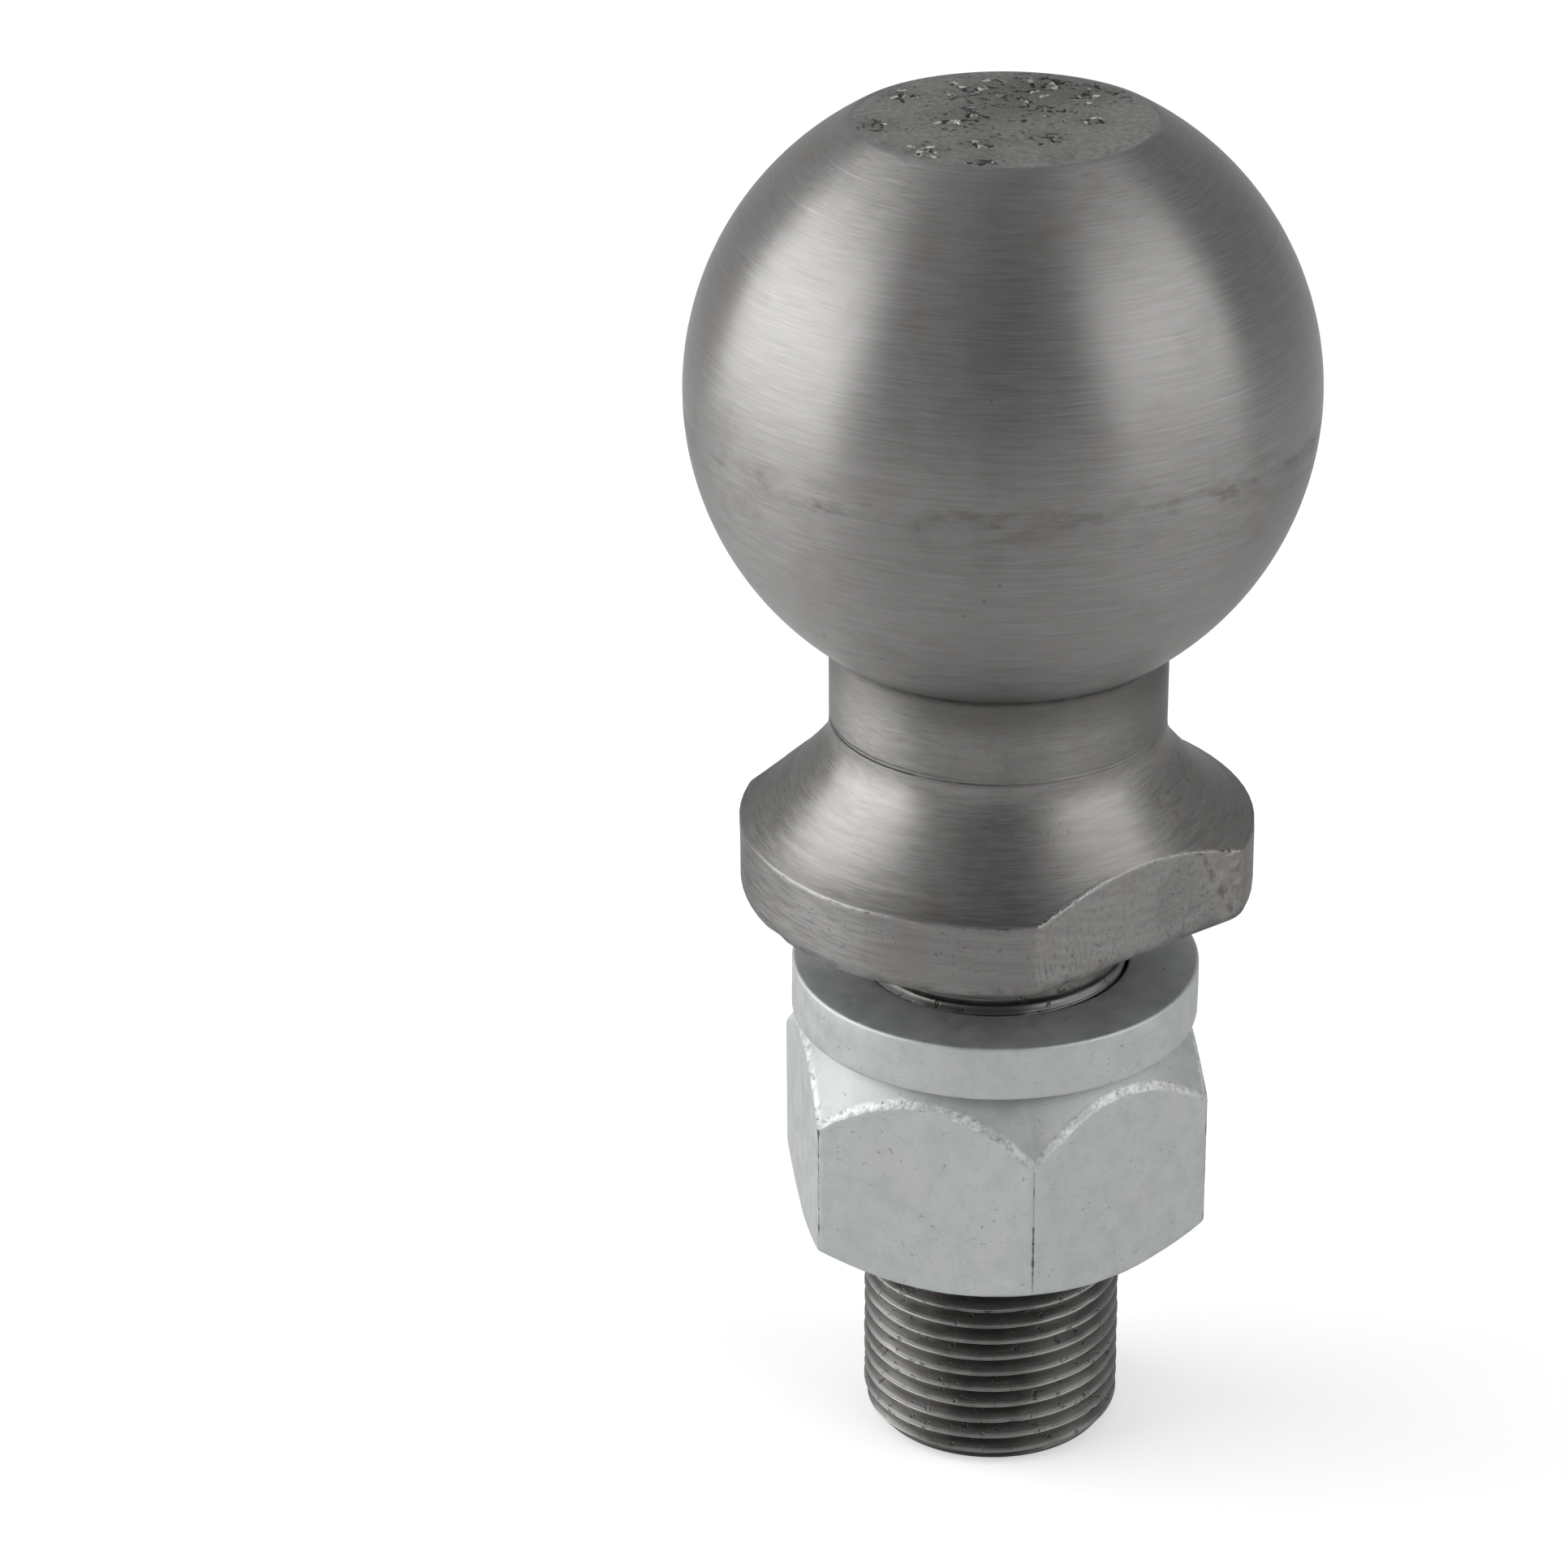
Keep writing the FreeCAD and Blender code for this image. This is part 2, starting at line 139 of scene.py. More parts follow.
def wobble(seed, azimuth, height, waves=9, turns=(2, 9), per_mm=0.5):
    """A smooth seeded unevenness of about one unit, closed round the axis."""
    source = np.random.default_rng(seed)
    total = 0
    for _ in range(waves):
        around = source.integers(turns[0], turns[1])
        along = source.uniform(-per_mm, per_mm)
        phase = source.uniform(0, 2 * math.pi)
        total = total + np.sin(np.radians(azimuth) * around + height * along * 6.28 + phase)
    return total / math.sqrt(waves / 2)


class Shell:
    """Grids of points gathered into one mesh, each grid with its own finish."""

    def __init__(self):
        self.points = []
        self.faces = []
        self.finish = []
        self.count = 0

    def add(self, grid, finish, closed=True, inward=False):
        """Add a grid of rows and columns; finish is a number, one per row, or one per quad."""
        rows, columns = grid.shape[:2]
        self.points.append(grid.reshape(-1, 3))
        index = np.arange(rows * columns).reshape(rows, columns) + self.count
        if closed:
            index = np.concatenate([index, index[:, :1]], axis=1)
        corners = [index[:-1, :-1], index[1:, :-1], index[1:, 1:], index[:-1, 1:]]
        if inward:
            corners.reverse()
        quads = np.stack(corners, axis=-1)
        self.faces.append(quads.reshape(-1, 4))
        numbers = np.asarray(finish)
        if numbers.ndim == 1:
            numbers = numbers[:, None]
        self.finish.append(np.broadcast_to(numbers, quads.shape[:2]).reshape(-1))
        self.count += rows * columns

    def build(self, name, materials, sharp=40.0, weld=0.002):
        """Make the object, weld what meets, drop what has no area, mark sharp edges."""
        mesh = bpy.data.meshes.new(name)
        points = np.concatenate(self.points) * MM
        faces = np.concatenate(self.faces)
        mesh.from_pydata(points.tolist(), [], faces.tolist())
        for material in materials:
            mesh.materials.append(material)
        mesh.polygons.foreach_set("material_index", np.concatenate(self.finish).astype(np.int32))
        work = bmesh.new()
        work.from_mesh(mesh)
        bmesh.ops.remove_doubles(work, verts=work.verts, dist=weld * MM)
        bmesh.ops.dissolve_degenerate(work, edges=work.edges, dist=weld * MM)
        limit = math.radians(sharp)
        for face in work.faces:
            face.smooth = True
        for edge in work.edges:
            if len(edge.link_faces) == 2 and edge.calc_face_angle(0) > limit:
                edge.smooth = False
        work.to_mesh(mesh)
        work.free()
        mesh.update()
        piece = bpy.data.objects.new(name, mesh)
        bpy.context.scene.collection.objects.link(piece)
        return piece


def thread_radius(azimuth, height):
    """Outside of the shank's thread at an azimuth and a height."""
    crest = CREST_HEIGHT + PITCH * (azimuth - CREST_AZIMUTH) / 360
    turn = (crest - height) / PITCH
    away = np.abs(turn - np.round(turn)) * PITCH
    cut = np.clip((away - CREST_HALF) * math.sqrt(3), 0, None)
    cut = smooth_min(cut, np.full_like(cut, THREAD_DEPTH), 0.35)
    cut = cut + np.clip(1 - away / 0.08, 0, None) * 0.06
    depth = np.clip((THREAD_TOP - height) / RUN_OUT, 0, 1)
    return SHANK_RADIUS - np.clip(cut, 0, None) * depth


# Distances from a crest, as shares of the pitch, at which a turn is sampled
HALF_TURN = np.array([0.035, 0.085, 0.15, 0.20, 0.36, 0.56, 0.72]) / PITCH
TURN_SAMPLES = np.concatenate([[0], HALF_TURN, [0.5], 1 - HALF_TURN[::-1]])


def helix_heights(top, bottom, azimuth):
    """Rows that follow the thread from top to bottom, cut level at both ends."""
    first = CREST_HEIGHT + PITCH * math.ceil((top - CREST_HEIGHT) / PITCH + 1)
    turns = math.ceil((first - bottom) / PITCH) + 2
    steps = (np.arange(turns)[:, None] + TURN_SAMPLES[None, :]).reshape(-1)
    rise = PITCH * (azimuth - CREST_AZIMUTH) / 360
    return np.clip(first - steps[:, None] * PITCH + rise[None, :], bottom, top)


def arc_points(centre, radius, start, end, count):
    """Points of an arc in the section, angles in degrees from the outward direction."""
    angles = np.radians(np.linspace(start, end, count))
    return [(centre[0] + radius * math.cos(a), centre[1] + radius * math.sin(a)) for a in angles]


def crown_gouges(x, y):
    """Depth of the knocks in the crown, in crowds, at points in mm."""
    source = np.random.default_rng(23)
    depth = np.zeros_like(x)
    for east, north, reach, count in CROWN_CROWDS:
        for _ in range(count):
            at_x = east + reach * source.normal(0, CROWD_SPREAD)
            at_y = north + reach * source.normal(0, CROWD_SPREAD)
            long = source.uniform(0.20, 0.72)
            wide = source.uniform(0.15, 0.24)
            turn = source.uniform(0, math.pi)
            deep = source.uniform(0.14, 0.36)
            u = ((x - at_x) * math.cos(turn) + (y - at_y) * math.sin(turn)) / long
            v = ((y - at_y) * math.cos(turn) - (x - at_x) * math.sin(turn)) / wide
            depth = np.maximum(depth, deep * (1.2 * np.exp(-(u * u) - v * v) - 0.12))
    return depth * np.clip((CROWN_RADIUS - 0.6 - np.hypot(x, y)) / 0.3, 0, 1)


def make_crown(shell):
    """The crown's flat with its knocks, on a coarse grid inside and a finer one round it."""
    middle, coarse, fine = 6.6, 144, 288
    for inside, outside, rows, columns in (
        (0.02, middle, 33, coarse), (middle, CROWN_RADIUS - CROWN_EASE, 36, fine),
    ):
        radius = np.linspace(inside, outside, rows)[:, None]
        grid = polar(radius, np.arange(columns)[None, :] * (360 / columns), 0.0)
        grid[..., 2] = CROWN_HEIGHT - crown_gouges(grid[..., 0], grid[..., 1])
        if columns == fine:
            # Where it meets the coarse columns, every second point lies on their edge
            for row in (0, -1):
                even = grid[row, ::2]
                grid[row, 1::2] = (even + np.roll(even, -1, axis=0)) / 2
        shell.add(grid, CROWN)


def make_ball_head(shell):
    """Ball and neck below the crown's flat, turned round the axis."""
    reach = NECK_RADIUS + NECK_CORNER
    start = 90 - math.degrees(math.asin((CROWN_RADIUS + 0.3) / BALL_RADIUS))
    end = math.degrees(math.asin(reach / (BALL_RADIUS + NECK_CORNER))) - 90
    sphere = arc_points((0, BALL_HEIGHT), BALL_RADIUS, start, end, 96)
    # The crown's edge is eased from a to c, bent towards b
    a, b = (CROWN_RADIUS - CROWN_EASE, CROWN_HEIGHT), (CROWN_RADIUS + 0.02, CROWN_HEIGHT)
    c = sphere[0]
    eased = [
        tuple(a[k] * (1 - t) ** 2 + 2 * b[k] * t * (1 - t) + c[k] * t * t for k in (0, 1))
        for t in (0.3, 0.55, 0.8)
    ]
    low = BALL_HEIGHT - math.sqrt((BALL_RADIUS + NECK_CORNER) ** 2 - reach**2)
    neck = arc_points((reach, low), NECK_CORNER, 180 + end, 180, 8)[1:]
    neck += [(NECK_RADIUS, z) for z in np.linspace(low, NECK_SEAM, 12)[1:]]
    section = np.array([a, *eased, *sphere, *neck])
    finish = [BALL] * (len(eased) + len(sphere)) + [NECK] * len(neck)
    shell.add(polar(section[:, :1], np.arange(0, 360, 2.5), section[:, 1:]), finish)


def flat_columns(radius):
    """Azimuths of a row's columns; some of them follow the edges of both flats."""
    def edge(distance):
        angle = math.degrees(math.acos(min(1.0, distance / radius)))
        return math.hypot(angle, 2.2)

    near = np.array([0.9, 0.45, 0.2, 0.0]) * math.degrees(1 / radius)
    front, back = edge(FRONT_FLAT), 180 - edge(BACK_FLAT)
    shares = np.array([0.5, 0.3, 0.15, 0])
    front_near = np.minimum(near, front * shares)
    back_near = np.minimum(near, (180 - back) * shares)
    middle_start = front + near[2::-1]
    middle_end = back - near[:3]
    half = np.concatenate([
        np.linspace(0, front - front_near[0], 15)[:-1], front - front_near, middle_start,
        np.linspace(middle_start[-1], middle_end[0], 26)[1:-1], middle_end,
        back + back_near[::-1], np.linspace(back + back_near[0], 180, 15)[1:],
    ])
    return np.concatenate([half, -half[-2:0:-1]])


def flange_outline(radius, azimuth, reach):
    """A circle's radius at each azimuth once both flats have cut it."""
    across = np.cos(np.radians(azimuth))
    front = FRONT_FLAT / np.maximum(across, 0.2)
    back = BACK_FLAT / np.maximum(-across, 0.2)
    return smooth_min(smooth_min(np.full_like(across, radius), front, reach), back, reach)


def dents(azimuth, height):
    """Small knocks along the flange's lower edge."""
    knocks = [
        (13.6, 0.2, 1.6, 0.7, 0.55), (-98.0, 0.6, 3.0, 0.8, 0.30), (-62.0, 0.4, 1.5, 0.5, 0.16),
        (48.0, 7.5, 2.0, 0.5, 0.12), (150.0, 0.4, 2.5, 0.6, 0.25), (-15.0, 6.6, 1.2, 0.5, 0.10),
    ]
    total = np.zeros(np.broadcast(azimuth, height).shape)
    for place, up, wide, tall, depth in knocks:
        off = (np.mod(azimuth - place + 180, 360) - 180) / wide
        total += depth * np.exp(-(off**2) - ((height - up) / tall) ** 2)
    return total


def make_flange(shell):
    """Flare, flange with its two flats, underside and the cone to the shank."""
    centre = (NECK_RADIUS + FLARE_BLEND, FLARE_TOP)
    # Two fine tool lines where the neck's cut stopped against the flare's
    section = [(NECK_RADIUS - cut, z, NECK) for z, cut in (
        (NECK_SEAM, 0.0), (18.5, 0.0), (18.34, 0.0), (18.26, 0.03), (18.18, 0.03), (18.10, 0.0),
        (18.0, 0.0), (17.93, 0.01), (17.87, 0.03), (17.80, 0.03), (17.72, 0.0),
    )]
    arc = arc_points(centre, FLARE_BLEND, 180, 180 + FLARE_TURN, 15)
    section += [(x, z, FLARE) for x, z in arc]
    # The hollow goes on from the blend without a kink and flattens towards the edge
    foot = section[-1]
    for t in (*np.linspace(0, 0.97, 31)[1:], 0.99, 1.0):
        x = foot[0] + (FLANGE_RADIUS - 0.16 - foot[0]) * t
        z = foot[1] + (FLANGE_EDGE + 0.12 - foot[1]) * t
        section.append((x, z - 4 * FLARE_SAG * t * (1 - t), FLARE))
    inner, round_top = FLANGE_RADIUS - FLANGE_ROUND, FLANGE_ROUND + 0.1
    edge = [(FLANGE_RADIUS - 0.05, FLANGE_EDGE + 0.02), (FLANGE_RADIUS, FLANGE_EDGE - 0.12)]
    edge += [(FLANGE_RADIUS, z) for z in np.linspace(FLANGE_EDGE - 0.4, round_top, 13)]
    edge += arc_points((inner, FLANGE_ROUND), FLANGE_ROUND, 0, -90, 8)[1:]
    rim_rows = len(section) + len(edge)
    edge += [(x, 0.0) for x in (22.4, 20.6, 18.8, 17.0, 15.2, 13.8, CONE_RADIUS)]
    edge += [(12.95, -0.1), (12.75, -0.3), (SHANK_RADIUS, -0.6)]
    section += [(x, z, RIM) for x, z in edge]
    rows = []
    finish = []
    for number, (x, z, kind) in enumerate(section):
        # The flats cut the rim and the flare, and the underside narrows with them
        flare = number < rim_rows and z > round_top
        columns = flat_columns(min(x, FLANGE_RADIUS) if flare else FLANGE_RADIUS)
        outline = flange_outline(x if flare else FLANGE_RADIUS, columns,
                                 0.22 if z > FLANGE_EDGE - 0.3 else 0.55)
        if flare:
            radius = outline
        elif number < rim_rows:
            radius = outline - (FLANGE_RADIUS - x)
        elif x >= CONE_RADIUS:
            share = (x - CONE_RADIUS) / (inner - CONE_RADIUS)
            radius = CONE_RADIUS + (outline - FLANGE_ROUND - CONE_RADIUS) * share
        else:
            radius = np.full_like(columns, x)
        if 0 <= z < 9:
            radius = radius - dents(columns, z)
            radius = radius - 0.03 * (1 + wobble(5, columns, z, per_mm=0.1)) * (x > 20)
        rows.append(polar(radius, columns, z))
        finish.append(kind)
    grid = np.stack(rows)
    finish = np.repeat(np.array(finish[:-1])[:, None], grid.shape[1], axis=1)
    # What the mill cut off the flare is as dull as the rim
    least_y = np.minimum(grid[:-1, :, 1], grid[1:, :, 1])
    most_y = np.maximum(grid[:-1, :, 1], grid[1:, :, 1])
    milled = (most_y < 0.05 - FRONT_FLAT) | (least_y > BACK_FLAT - 0.05)
    finish[milled & (finish == FLARE)] = RIM
    shell.add(grid, finish)


def make_shank(shell):
    """Plain collar, rolled thread, end chamfer and end face."""
    azimuth = np.linspace(0, 360, 109)
    collar = np.array([0.3, -0.5, -2.0, -4.0, THREAD_TOP])[:, None]
    ends = azimuth[None, :]
    shell.add(polar(SHANK_RADIUS, ends, collar), THREAD, closed=False)
    height = helix_heights(THREAD_TOP, SHANK_END, azimuth)
    radius = thread_radius(ends, height)
    source = np.random.default_rng(11)
    for _ in range(THREAD_NICKS):
        place = source.uniform(0, 360)
        turn = source.integers(0, 28)
        wide = source.uniform(0.8, 3.2)
        depth = source.uniform(0.05, 0.28)
        at = CREST_HEIGHT + PITCH * (turn - 9) + PITCH * (place - CREST_AZIMUTH) / 360
        off = (np.mod(ends - place + 180, 360) - 180) / wide
        radius = radius - depth * np.exp(-(off**2) - ((height - at) / 0.22) ** 2)
    radius = radius - 0.02 * (1 + wobble(3, ends, height, per_mm=0.4))
    start = SHANK_END + TIP_CHAMFER
    cone = SHANK_RADIUS - (start - height) * (SHANK_RADIUS - TIP_RADIUS) / TIP_CHAMFER
    radius = smooth_min(radius, np.maximum(cone, TIP_RADIUS), 0.12)
    shell.add(polar(radius, ends, height), THREAD, closed=False)
    share = np.array([1.0, 0.97, 0.85, 0.65, 0.4, 0.15, 0.002])[:, None]
    drop = np.array([0.0, 0.02, 0.02, 0.02, 0.02, 0.05, 0.05])[:, None]
    shell.add(polar(radius[-1][None, :] * share, ends, SHANK_END + drop), END, closed=False)


def make_washer():
    """Split washer: level ring, sprung end, eased edges and two cut faces."""
    whole = 360 - WASHER_SPLIT
    sweep = np.concatenate([
        [0, 0.15, 0.5], np.linspace(1.5, whole - 1.5, 176), whole - np.array([0.5, 0.15, 0]),
    ])
    along = whole - sweep
    azimuth = WASHER_SPLIT_AZIMUTH - WASHER_SPLIT / 2 - sweep
    climb = np.clip(1 - along / WASHER_RAMP - 0.02, 0, None) / 0.98
    ease = 0.35
    middle = (WASHER_INSIDE + WASHER_OUTSIDE) / 2
    half_wide = (WASHER_OUTSIDE - WASHER_INSIDE) / 2
    half_tall = WASHER_THICKNESS / 2
    corners = [
        arc_points((cx * (half_wide - ease), cz * (half_tall - ease)), ease, start, start + 90, 6)
        for cx, cz, start in ((1, 1, 0), (-1, 1, 90), (-1, -1, 180), (1, -1, 270))
    ]
    ring = np.concatenate([
        np.concatenate([corner, np.linspace(corner[-1], following[0], 7)[1:-1]])
        for corner, following in zip(corners, corners[1:] + corners[:1])
    ])
    base = WASHER_LOW + half_tall
    inset = np.clip(1 - np.minimum(sweep, along) / 0.35, 0, 1)
    scale = 1 - 0.035 * inset
    across = middle + ring[None, :, 0] * scale[:, None]
    up = base + WASHER_SPRING * climb[:, None] + ring[None, :, 1] * scale[:, None]
    # Both cut faces lean a little
    turned = azimuth[:, None] + ring[None, :, 1] * 0.15 * (1 - 2 * along[:, None] / whole)
    across = across + 0.03 * wobble(21, turned, up, per_mm=0.2) - 0.04
    shell = Shell()
    shell.add(polar(across, turned, up), PLATE, inward=True)
    share = np.array([1.0, 0.94, 0.6, 0.3, 0.01])[:, None]
    for end, inward in ((0, False), (-1, True)):
        height = base + WASHER_SPRING * climb[end]
        shell.add(polar(
            middle + (across[end] - middle) * share,
            azimuth[end] + (turned[end] - azimuth[end]) * share,
            height + (up[end] - height) * share,
        ), CUT, inward=inward)
    return shell


def hex_radius(azimuth):
    """Outside of the hexagon at an azimuth, its corners slightly eased."""
    off = np.mod(azimuth + 30, 60) - 30
    corner = np.clip(1 - np.abs(30 - np.abs(off)) / 1.1, 0, 1)
    return NUT_APOTHEM / np.cos(np.radians(off)) - 0.13 * corner**2


def make_nut():
    """Hex nut: bevelled crown and foot, flat faces and a threaded bore."""
    step = np.array([-30, -29.7, -29.3, -28.7, -27.6, -25.5, -22, -17.5, -12.5, -7.5, -2.5,
                     2.5, 7.5, 12.5, 17.5, 22, 25.5, 27.6, 28.7, 29.3, 29.7])
    azimuth = (np.arange(6)[:, None] * 60 + step[None, :]).reshape(-1)
    side = hex_radius(azimuth)
    crown_in = NUT_APOTHEM - NUT_CROWN_DROP / NUT_CROWN_SLOPE
    foot_in = NUT_APOTHEM - NUT_FOOT_DROP / NUT_FOOT_SLOPE
    waver = 0.10 * wobble(8, azimuth, 0.0, waves=14, turns=(5, 40))
    crest = NUT_TOP - (side - crown_in) * NUT_CROWN_SLOPE + waver * 0.6
    heel = NUT_FOOT + (side - foot_in) * NUT_FOOT_SLOPE + waver * 0.15
    rows = []
    finish = []

    def row(radius, height, kind):
        rows.append(polar(radius, azimuth, height))
        finish.append(kind)

    for radius in (NUT_MOUTH, 14.1, 15.2, 16.4, 17.2, crown_in - 0.18):
        row(radius, NUT_TOP, CUT)
    row(crown_in - 0.03, NUT_TOP - 0.03, CUT)
    for share in (0.08, 0.2, 0.35, 0.5, 0.65, 0.8, 0.92):
        rough = 0.05 * wobble(31, azimuth, share * 9.0, waves=16, turns=(12, 60), per_mm=0.3)
        radius = crown_in + (side - crown_in) * share - np.abs(rough) * 0.5 * (share > 0.1)
        row(radius, NUT_TOP + (crest - NUT_TOP) * share, CUT)
    row(side - 0.06, crest + 0.05, CUT)
    row(side - 0.01, crest - 0.16, PLATE)
    row(side, crest - 0.45, PLATE)
    for share in np.linspace(0, 1, 12)[1:]:
        row(side, (crest - 0.45) * (1 - share) + (heel + 0.4) * share, PLATE)
    row(side - 0.01, heel + 0.14, PLATE)
    row(side - 0.06, heel - 0.03, PLATE)
    for share in (0.85, 0.6, 0.3, 0.08):
        row(foot_in + (side - foot_in) * share, NUT_FOOT + (heel - NUT_FOOT) * share, PLATE)
    row(foot_in - 0.1, NUT_FOOT + 0.01, PLATE)
    for radius in (foot_in - 0.4, 17.8, 16.6, 15.4, 14.3, NUT_MOUTH):
        row(radius, NUT_FOOT, PLATE)
    shell = Shell()
    shell.add(np.stack(rows), finish[:-1])

    around = np.linspace(0, 360, 109)
    height = helix_heights(NUT_TOP, NUT_FOOT, around)
    radius = thread_radius(around[None, :], height) + THREAD_PLAY
    lead = NUT_MOUTH - np.minimum(NUT_TOP - height, height - NUT_FOOT)
    radius = np.maximum(radius, lead)
    shell.add(polar(radius, around[None, :], height), BORE, closed=False, inward=True)
    return shell


# ---- materials ----

class Tree:
    """Short names for the nodes of a material or of the world."""

    def __init__(self, owner):
        owner.use_nodes = True
        self.tree = owner.node_tree
        self.tree.nodes.clear()

    def put(self, socket, value):
        """Link a socket to another one, or set it to a constant."""
        if isinstance(value, bpy.types.NodeSocket):
            self.tree.links.new(value, socket)
        else:
            socket.default_value = value

    def new(self, kind, *values, **settings):
        """A node with these settings, its first sockets fed with the values."""
        node = self.tree.nodes.new(kind)
        for key, value in settings.items():
            setattr(node, key, value)
        for socket, value in zip(node.inputs, values):
            self.put(socket, value)
        return node

    def math(self, operation, *values, clamp=False):
        node = self.new("ShaderNodeMath", *values, operation=operation, use_clamp=clamp)
        return node.outputs[0]

    def times(self, total, *values, clamp=False):
        """The product of the values; clamp holds it between nothing and one."""
        for value in values[:-1]:
            total = self.math("MULTIPLY", total, value)
        return self.math("MULTIPLY", total, values[-1], clamp=clamp)

    def plus(self, total, *values):
        for value in values:
            total = self.math("ADD", total, value)
        return total

    def minus(self, value, less):
        return self.math("SUBTRACT", value, less)

    def most(self, *values):
        return self.math("MAXIMUM", *values)

    def ramp(self, value, low, high, to_low=0.0, to_high=1.0):
        """Value from low to high spread smoothly over to_low to to_high."""
        node = self.new("ShaderNodeMapRange", value, low, high, to_low, to_high,
                        interpolation_type="SMOOTHSTEP")
        return node.outputs[0]


class Nodes(Tree):
    """The nodes of one piece's material."""

    def __init__(self, name, tint=0.55):
        self.material = bpy.data.materials.new(name)
        super().__init__(self.material)
        self.shader = self.new("ShaderNodeBsdfPrincipled")
        self.shader.inputs["Specular Tint"].default_value = (tint, tint, tint, 1.0)
        self.new("ShaderNodeOutputMaterial", self.shader.outputs[0])
        self.place = self.new("ShaderNodeTexCoord").outputs["Object"]
        self.x, self.y, self.z = self.new("ShaderNodeSeparateXYZ", self.place).outputs

    def ramp_mm(self, value, low, high, to_low=0.0, to_high=1.0):
        """A ramp whose low and high are in millimetres."""
        return self.ramp(value, low * MM, high * MM, to_low, to_high)

    def vector(self, x, y, z):
        return self.new("ShaderNodeCombineXYZ", x, y, z).outputs[0]

    def noise(self, vector, scale, detail=2.0, roughness=0.5, output="Fac"):
        node = self.new("ShaderNodeTexNoise", vector)
        node.inputs["Scale"].default_value = scale
        node.inputs["Detail"].default_value = detail
        node.inputs["Roughness"].default_value = roughness
        return node.outputs[output]

    def cells(self, vector, scale):
        node = self.new("ShaderNodeTexVoronoi", vector)
        node.inputs["Scale"].default_value = scale
        return node.outputs["Distance"]

    def mix(self, share, a, b):
        node = self.new("ShaderNodeMix", share, data_type="RGBA")
        for socket, value in ((node.inputs[6], a), (node.inputs[7], b)):
            self.put(socket, (*value, 1.0) if isinstance(value, tuple) else value)
        return node.outputs[2]

    def cover(self, colour, share, strength, top):
        """A colour with another over it, as much as the share times the strength."""
        return self.mix(self.times(share, strength), colour, top)

    def fall(self, square):
        """One where the square is nothing, fading as it grows."""
        return self.math("POWER", 2.718, self.times(square, -1.0))

    def spot(self, centre, size, power=1.0):
        """One at a point in millimetres, fading to nothing over the three sizes."""
        squares = []
        for axis, middle, reach in zip((self.x, self.y, self.z), centre, size):
            off = self.times(self.minus(axis, middle * MM), 1 / (reach * MM))
            squares.append(self.times(off, off))
        return self.times(self.fall(self.plus(*squares)), power)

    def band(self, value, middle, reach):
        """One where the value is at the middle, about a third of that at the reach."""
        off = self.times(self.minus(value, middle), 1 / reach)
        return self.fall(self.times(off, off))

    def scratches(self, turn, stretch, fine, share):
        """Sparse hairlines that cross the surface at a slant."""
        mapping = self.new("ShaderNodeMapping", self.place)
        mapping.inputs["Rotation"].default_value = [math.radians(a) for a in turn]
        mapping.inputs["Scale"].default_value = (stretch, stretch, fine)
        lines = self.noise(mapping.outputs[0], 1.0, 1.0)
        return self.ramp(lines, share, share + 0.05)

    def finish(self, colour, rough, *relief, metallic=1.0, stretch=0.0):
        """Feed the shader; relief is pairs of a value and its height in millimetres."""
        sockets = self.shader.inputs
        self.put(sockets["Base Color"], colour)
        self.put(sockets["Roughness"], rough)
        sockets["Metallic"].default_value = metallic
        if stretch:
            # Light stretched across lines that run round the axis
            tangent = self.new("ShaderNodeTangent", direction_type="RADIAL", axis="Z")
            self.put(sockets["Tangent"], tangent.outputs[0])
            sockets["Anisotropic"].default_value = stretch
            sockets["Anisotropic Rotation"].default_value = 0.25
        bump = self.new("ShaderNodeBump")
        bump.inputs["Strength"].default_value = 1.0
        bump.inputs["Distance"].default_value = 1.0
        heights = [self.times(value, height * MM) for value, height in relief]
        self.put(bump.inputs["Height"], self.plus(*heights))
        self.put(sockets["Normal"], bump.outputs[0])
        return self.material


def radial(nodes):
    """Distance from the axis, and the direction away from it as two numbers."""
    square = nodes.plus(nodes.times(nodes.x, nodes.x), nodes.times(nodes.y, nodes.y))
    away = nodes.math("SQRT", nodes.most(square, 1e-12))
    return away, nodes.math("DIVIDE", nodes.x, away), nodes.math("DIVIDE", nodes.y, away)


def turned(nodes, along, around=7.0, fine=9000.0, medium=3800.0):
    """Distance from the axis, and fine and medium lines that run round the axis."""
    away, east, north = radial(nodes)
    lines = []
    for wide, tall in ((around, fine), (around * 0.45, medium)):
        place = nodes.vector(nodes.times(east, wide), nodes.times(north, wide),
                             nodes.times(along, tall))
        lines.append(nodes.noise(place, 1.0, 2.0, 0.55))
    return away, *lines


def steel_base(nodes, fine_lines, medium_lines, dark, light, stain):
    """Steel's colour: lines between two tones, cloudy patches and faint brown."""
    share = nodes.plus(nodes.times(fine_lines, 0.65), nodes.times(medium_lines, 0.35))
    colour = nodes.mix(nodes.ramp(share, 0.28, 0.72), dark, light)
    cloud = nodes.noise(nodes.place, 130.0, 4.0, 0.62)
    shade = tuple(v * 0.72 for v in dark)
    colour = nodes.mix(nodes.ramp(cloud, 0.52, 0.74, 0.0, stain), colour, shade)
    brown = (dark[0], dark[1] * 0.90, dark[2] * 0.80)
    return nodes.mix(nodes.ramp(cloud, 0.46, 0.30, 0.0, stain), colour, brown)


def pores(nodes, low, high, scale=1900.0, field=170.0, share=0.5):
    """Tiny dark pores that crowd together in some places."""
    grain = nodes.noise(nodes.place, scale, 1.0)
    crowd = nodes.ramp(nodes.noise(nodes.place, field, 3.0, 0.6), share, share + 0.14)
    return nodes.times(nodes.ramp(grain, low, high), crowd)


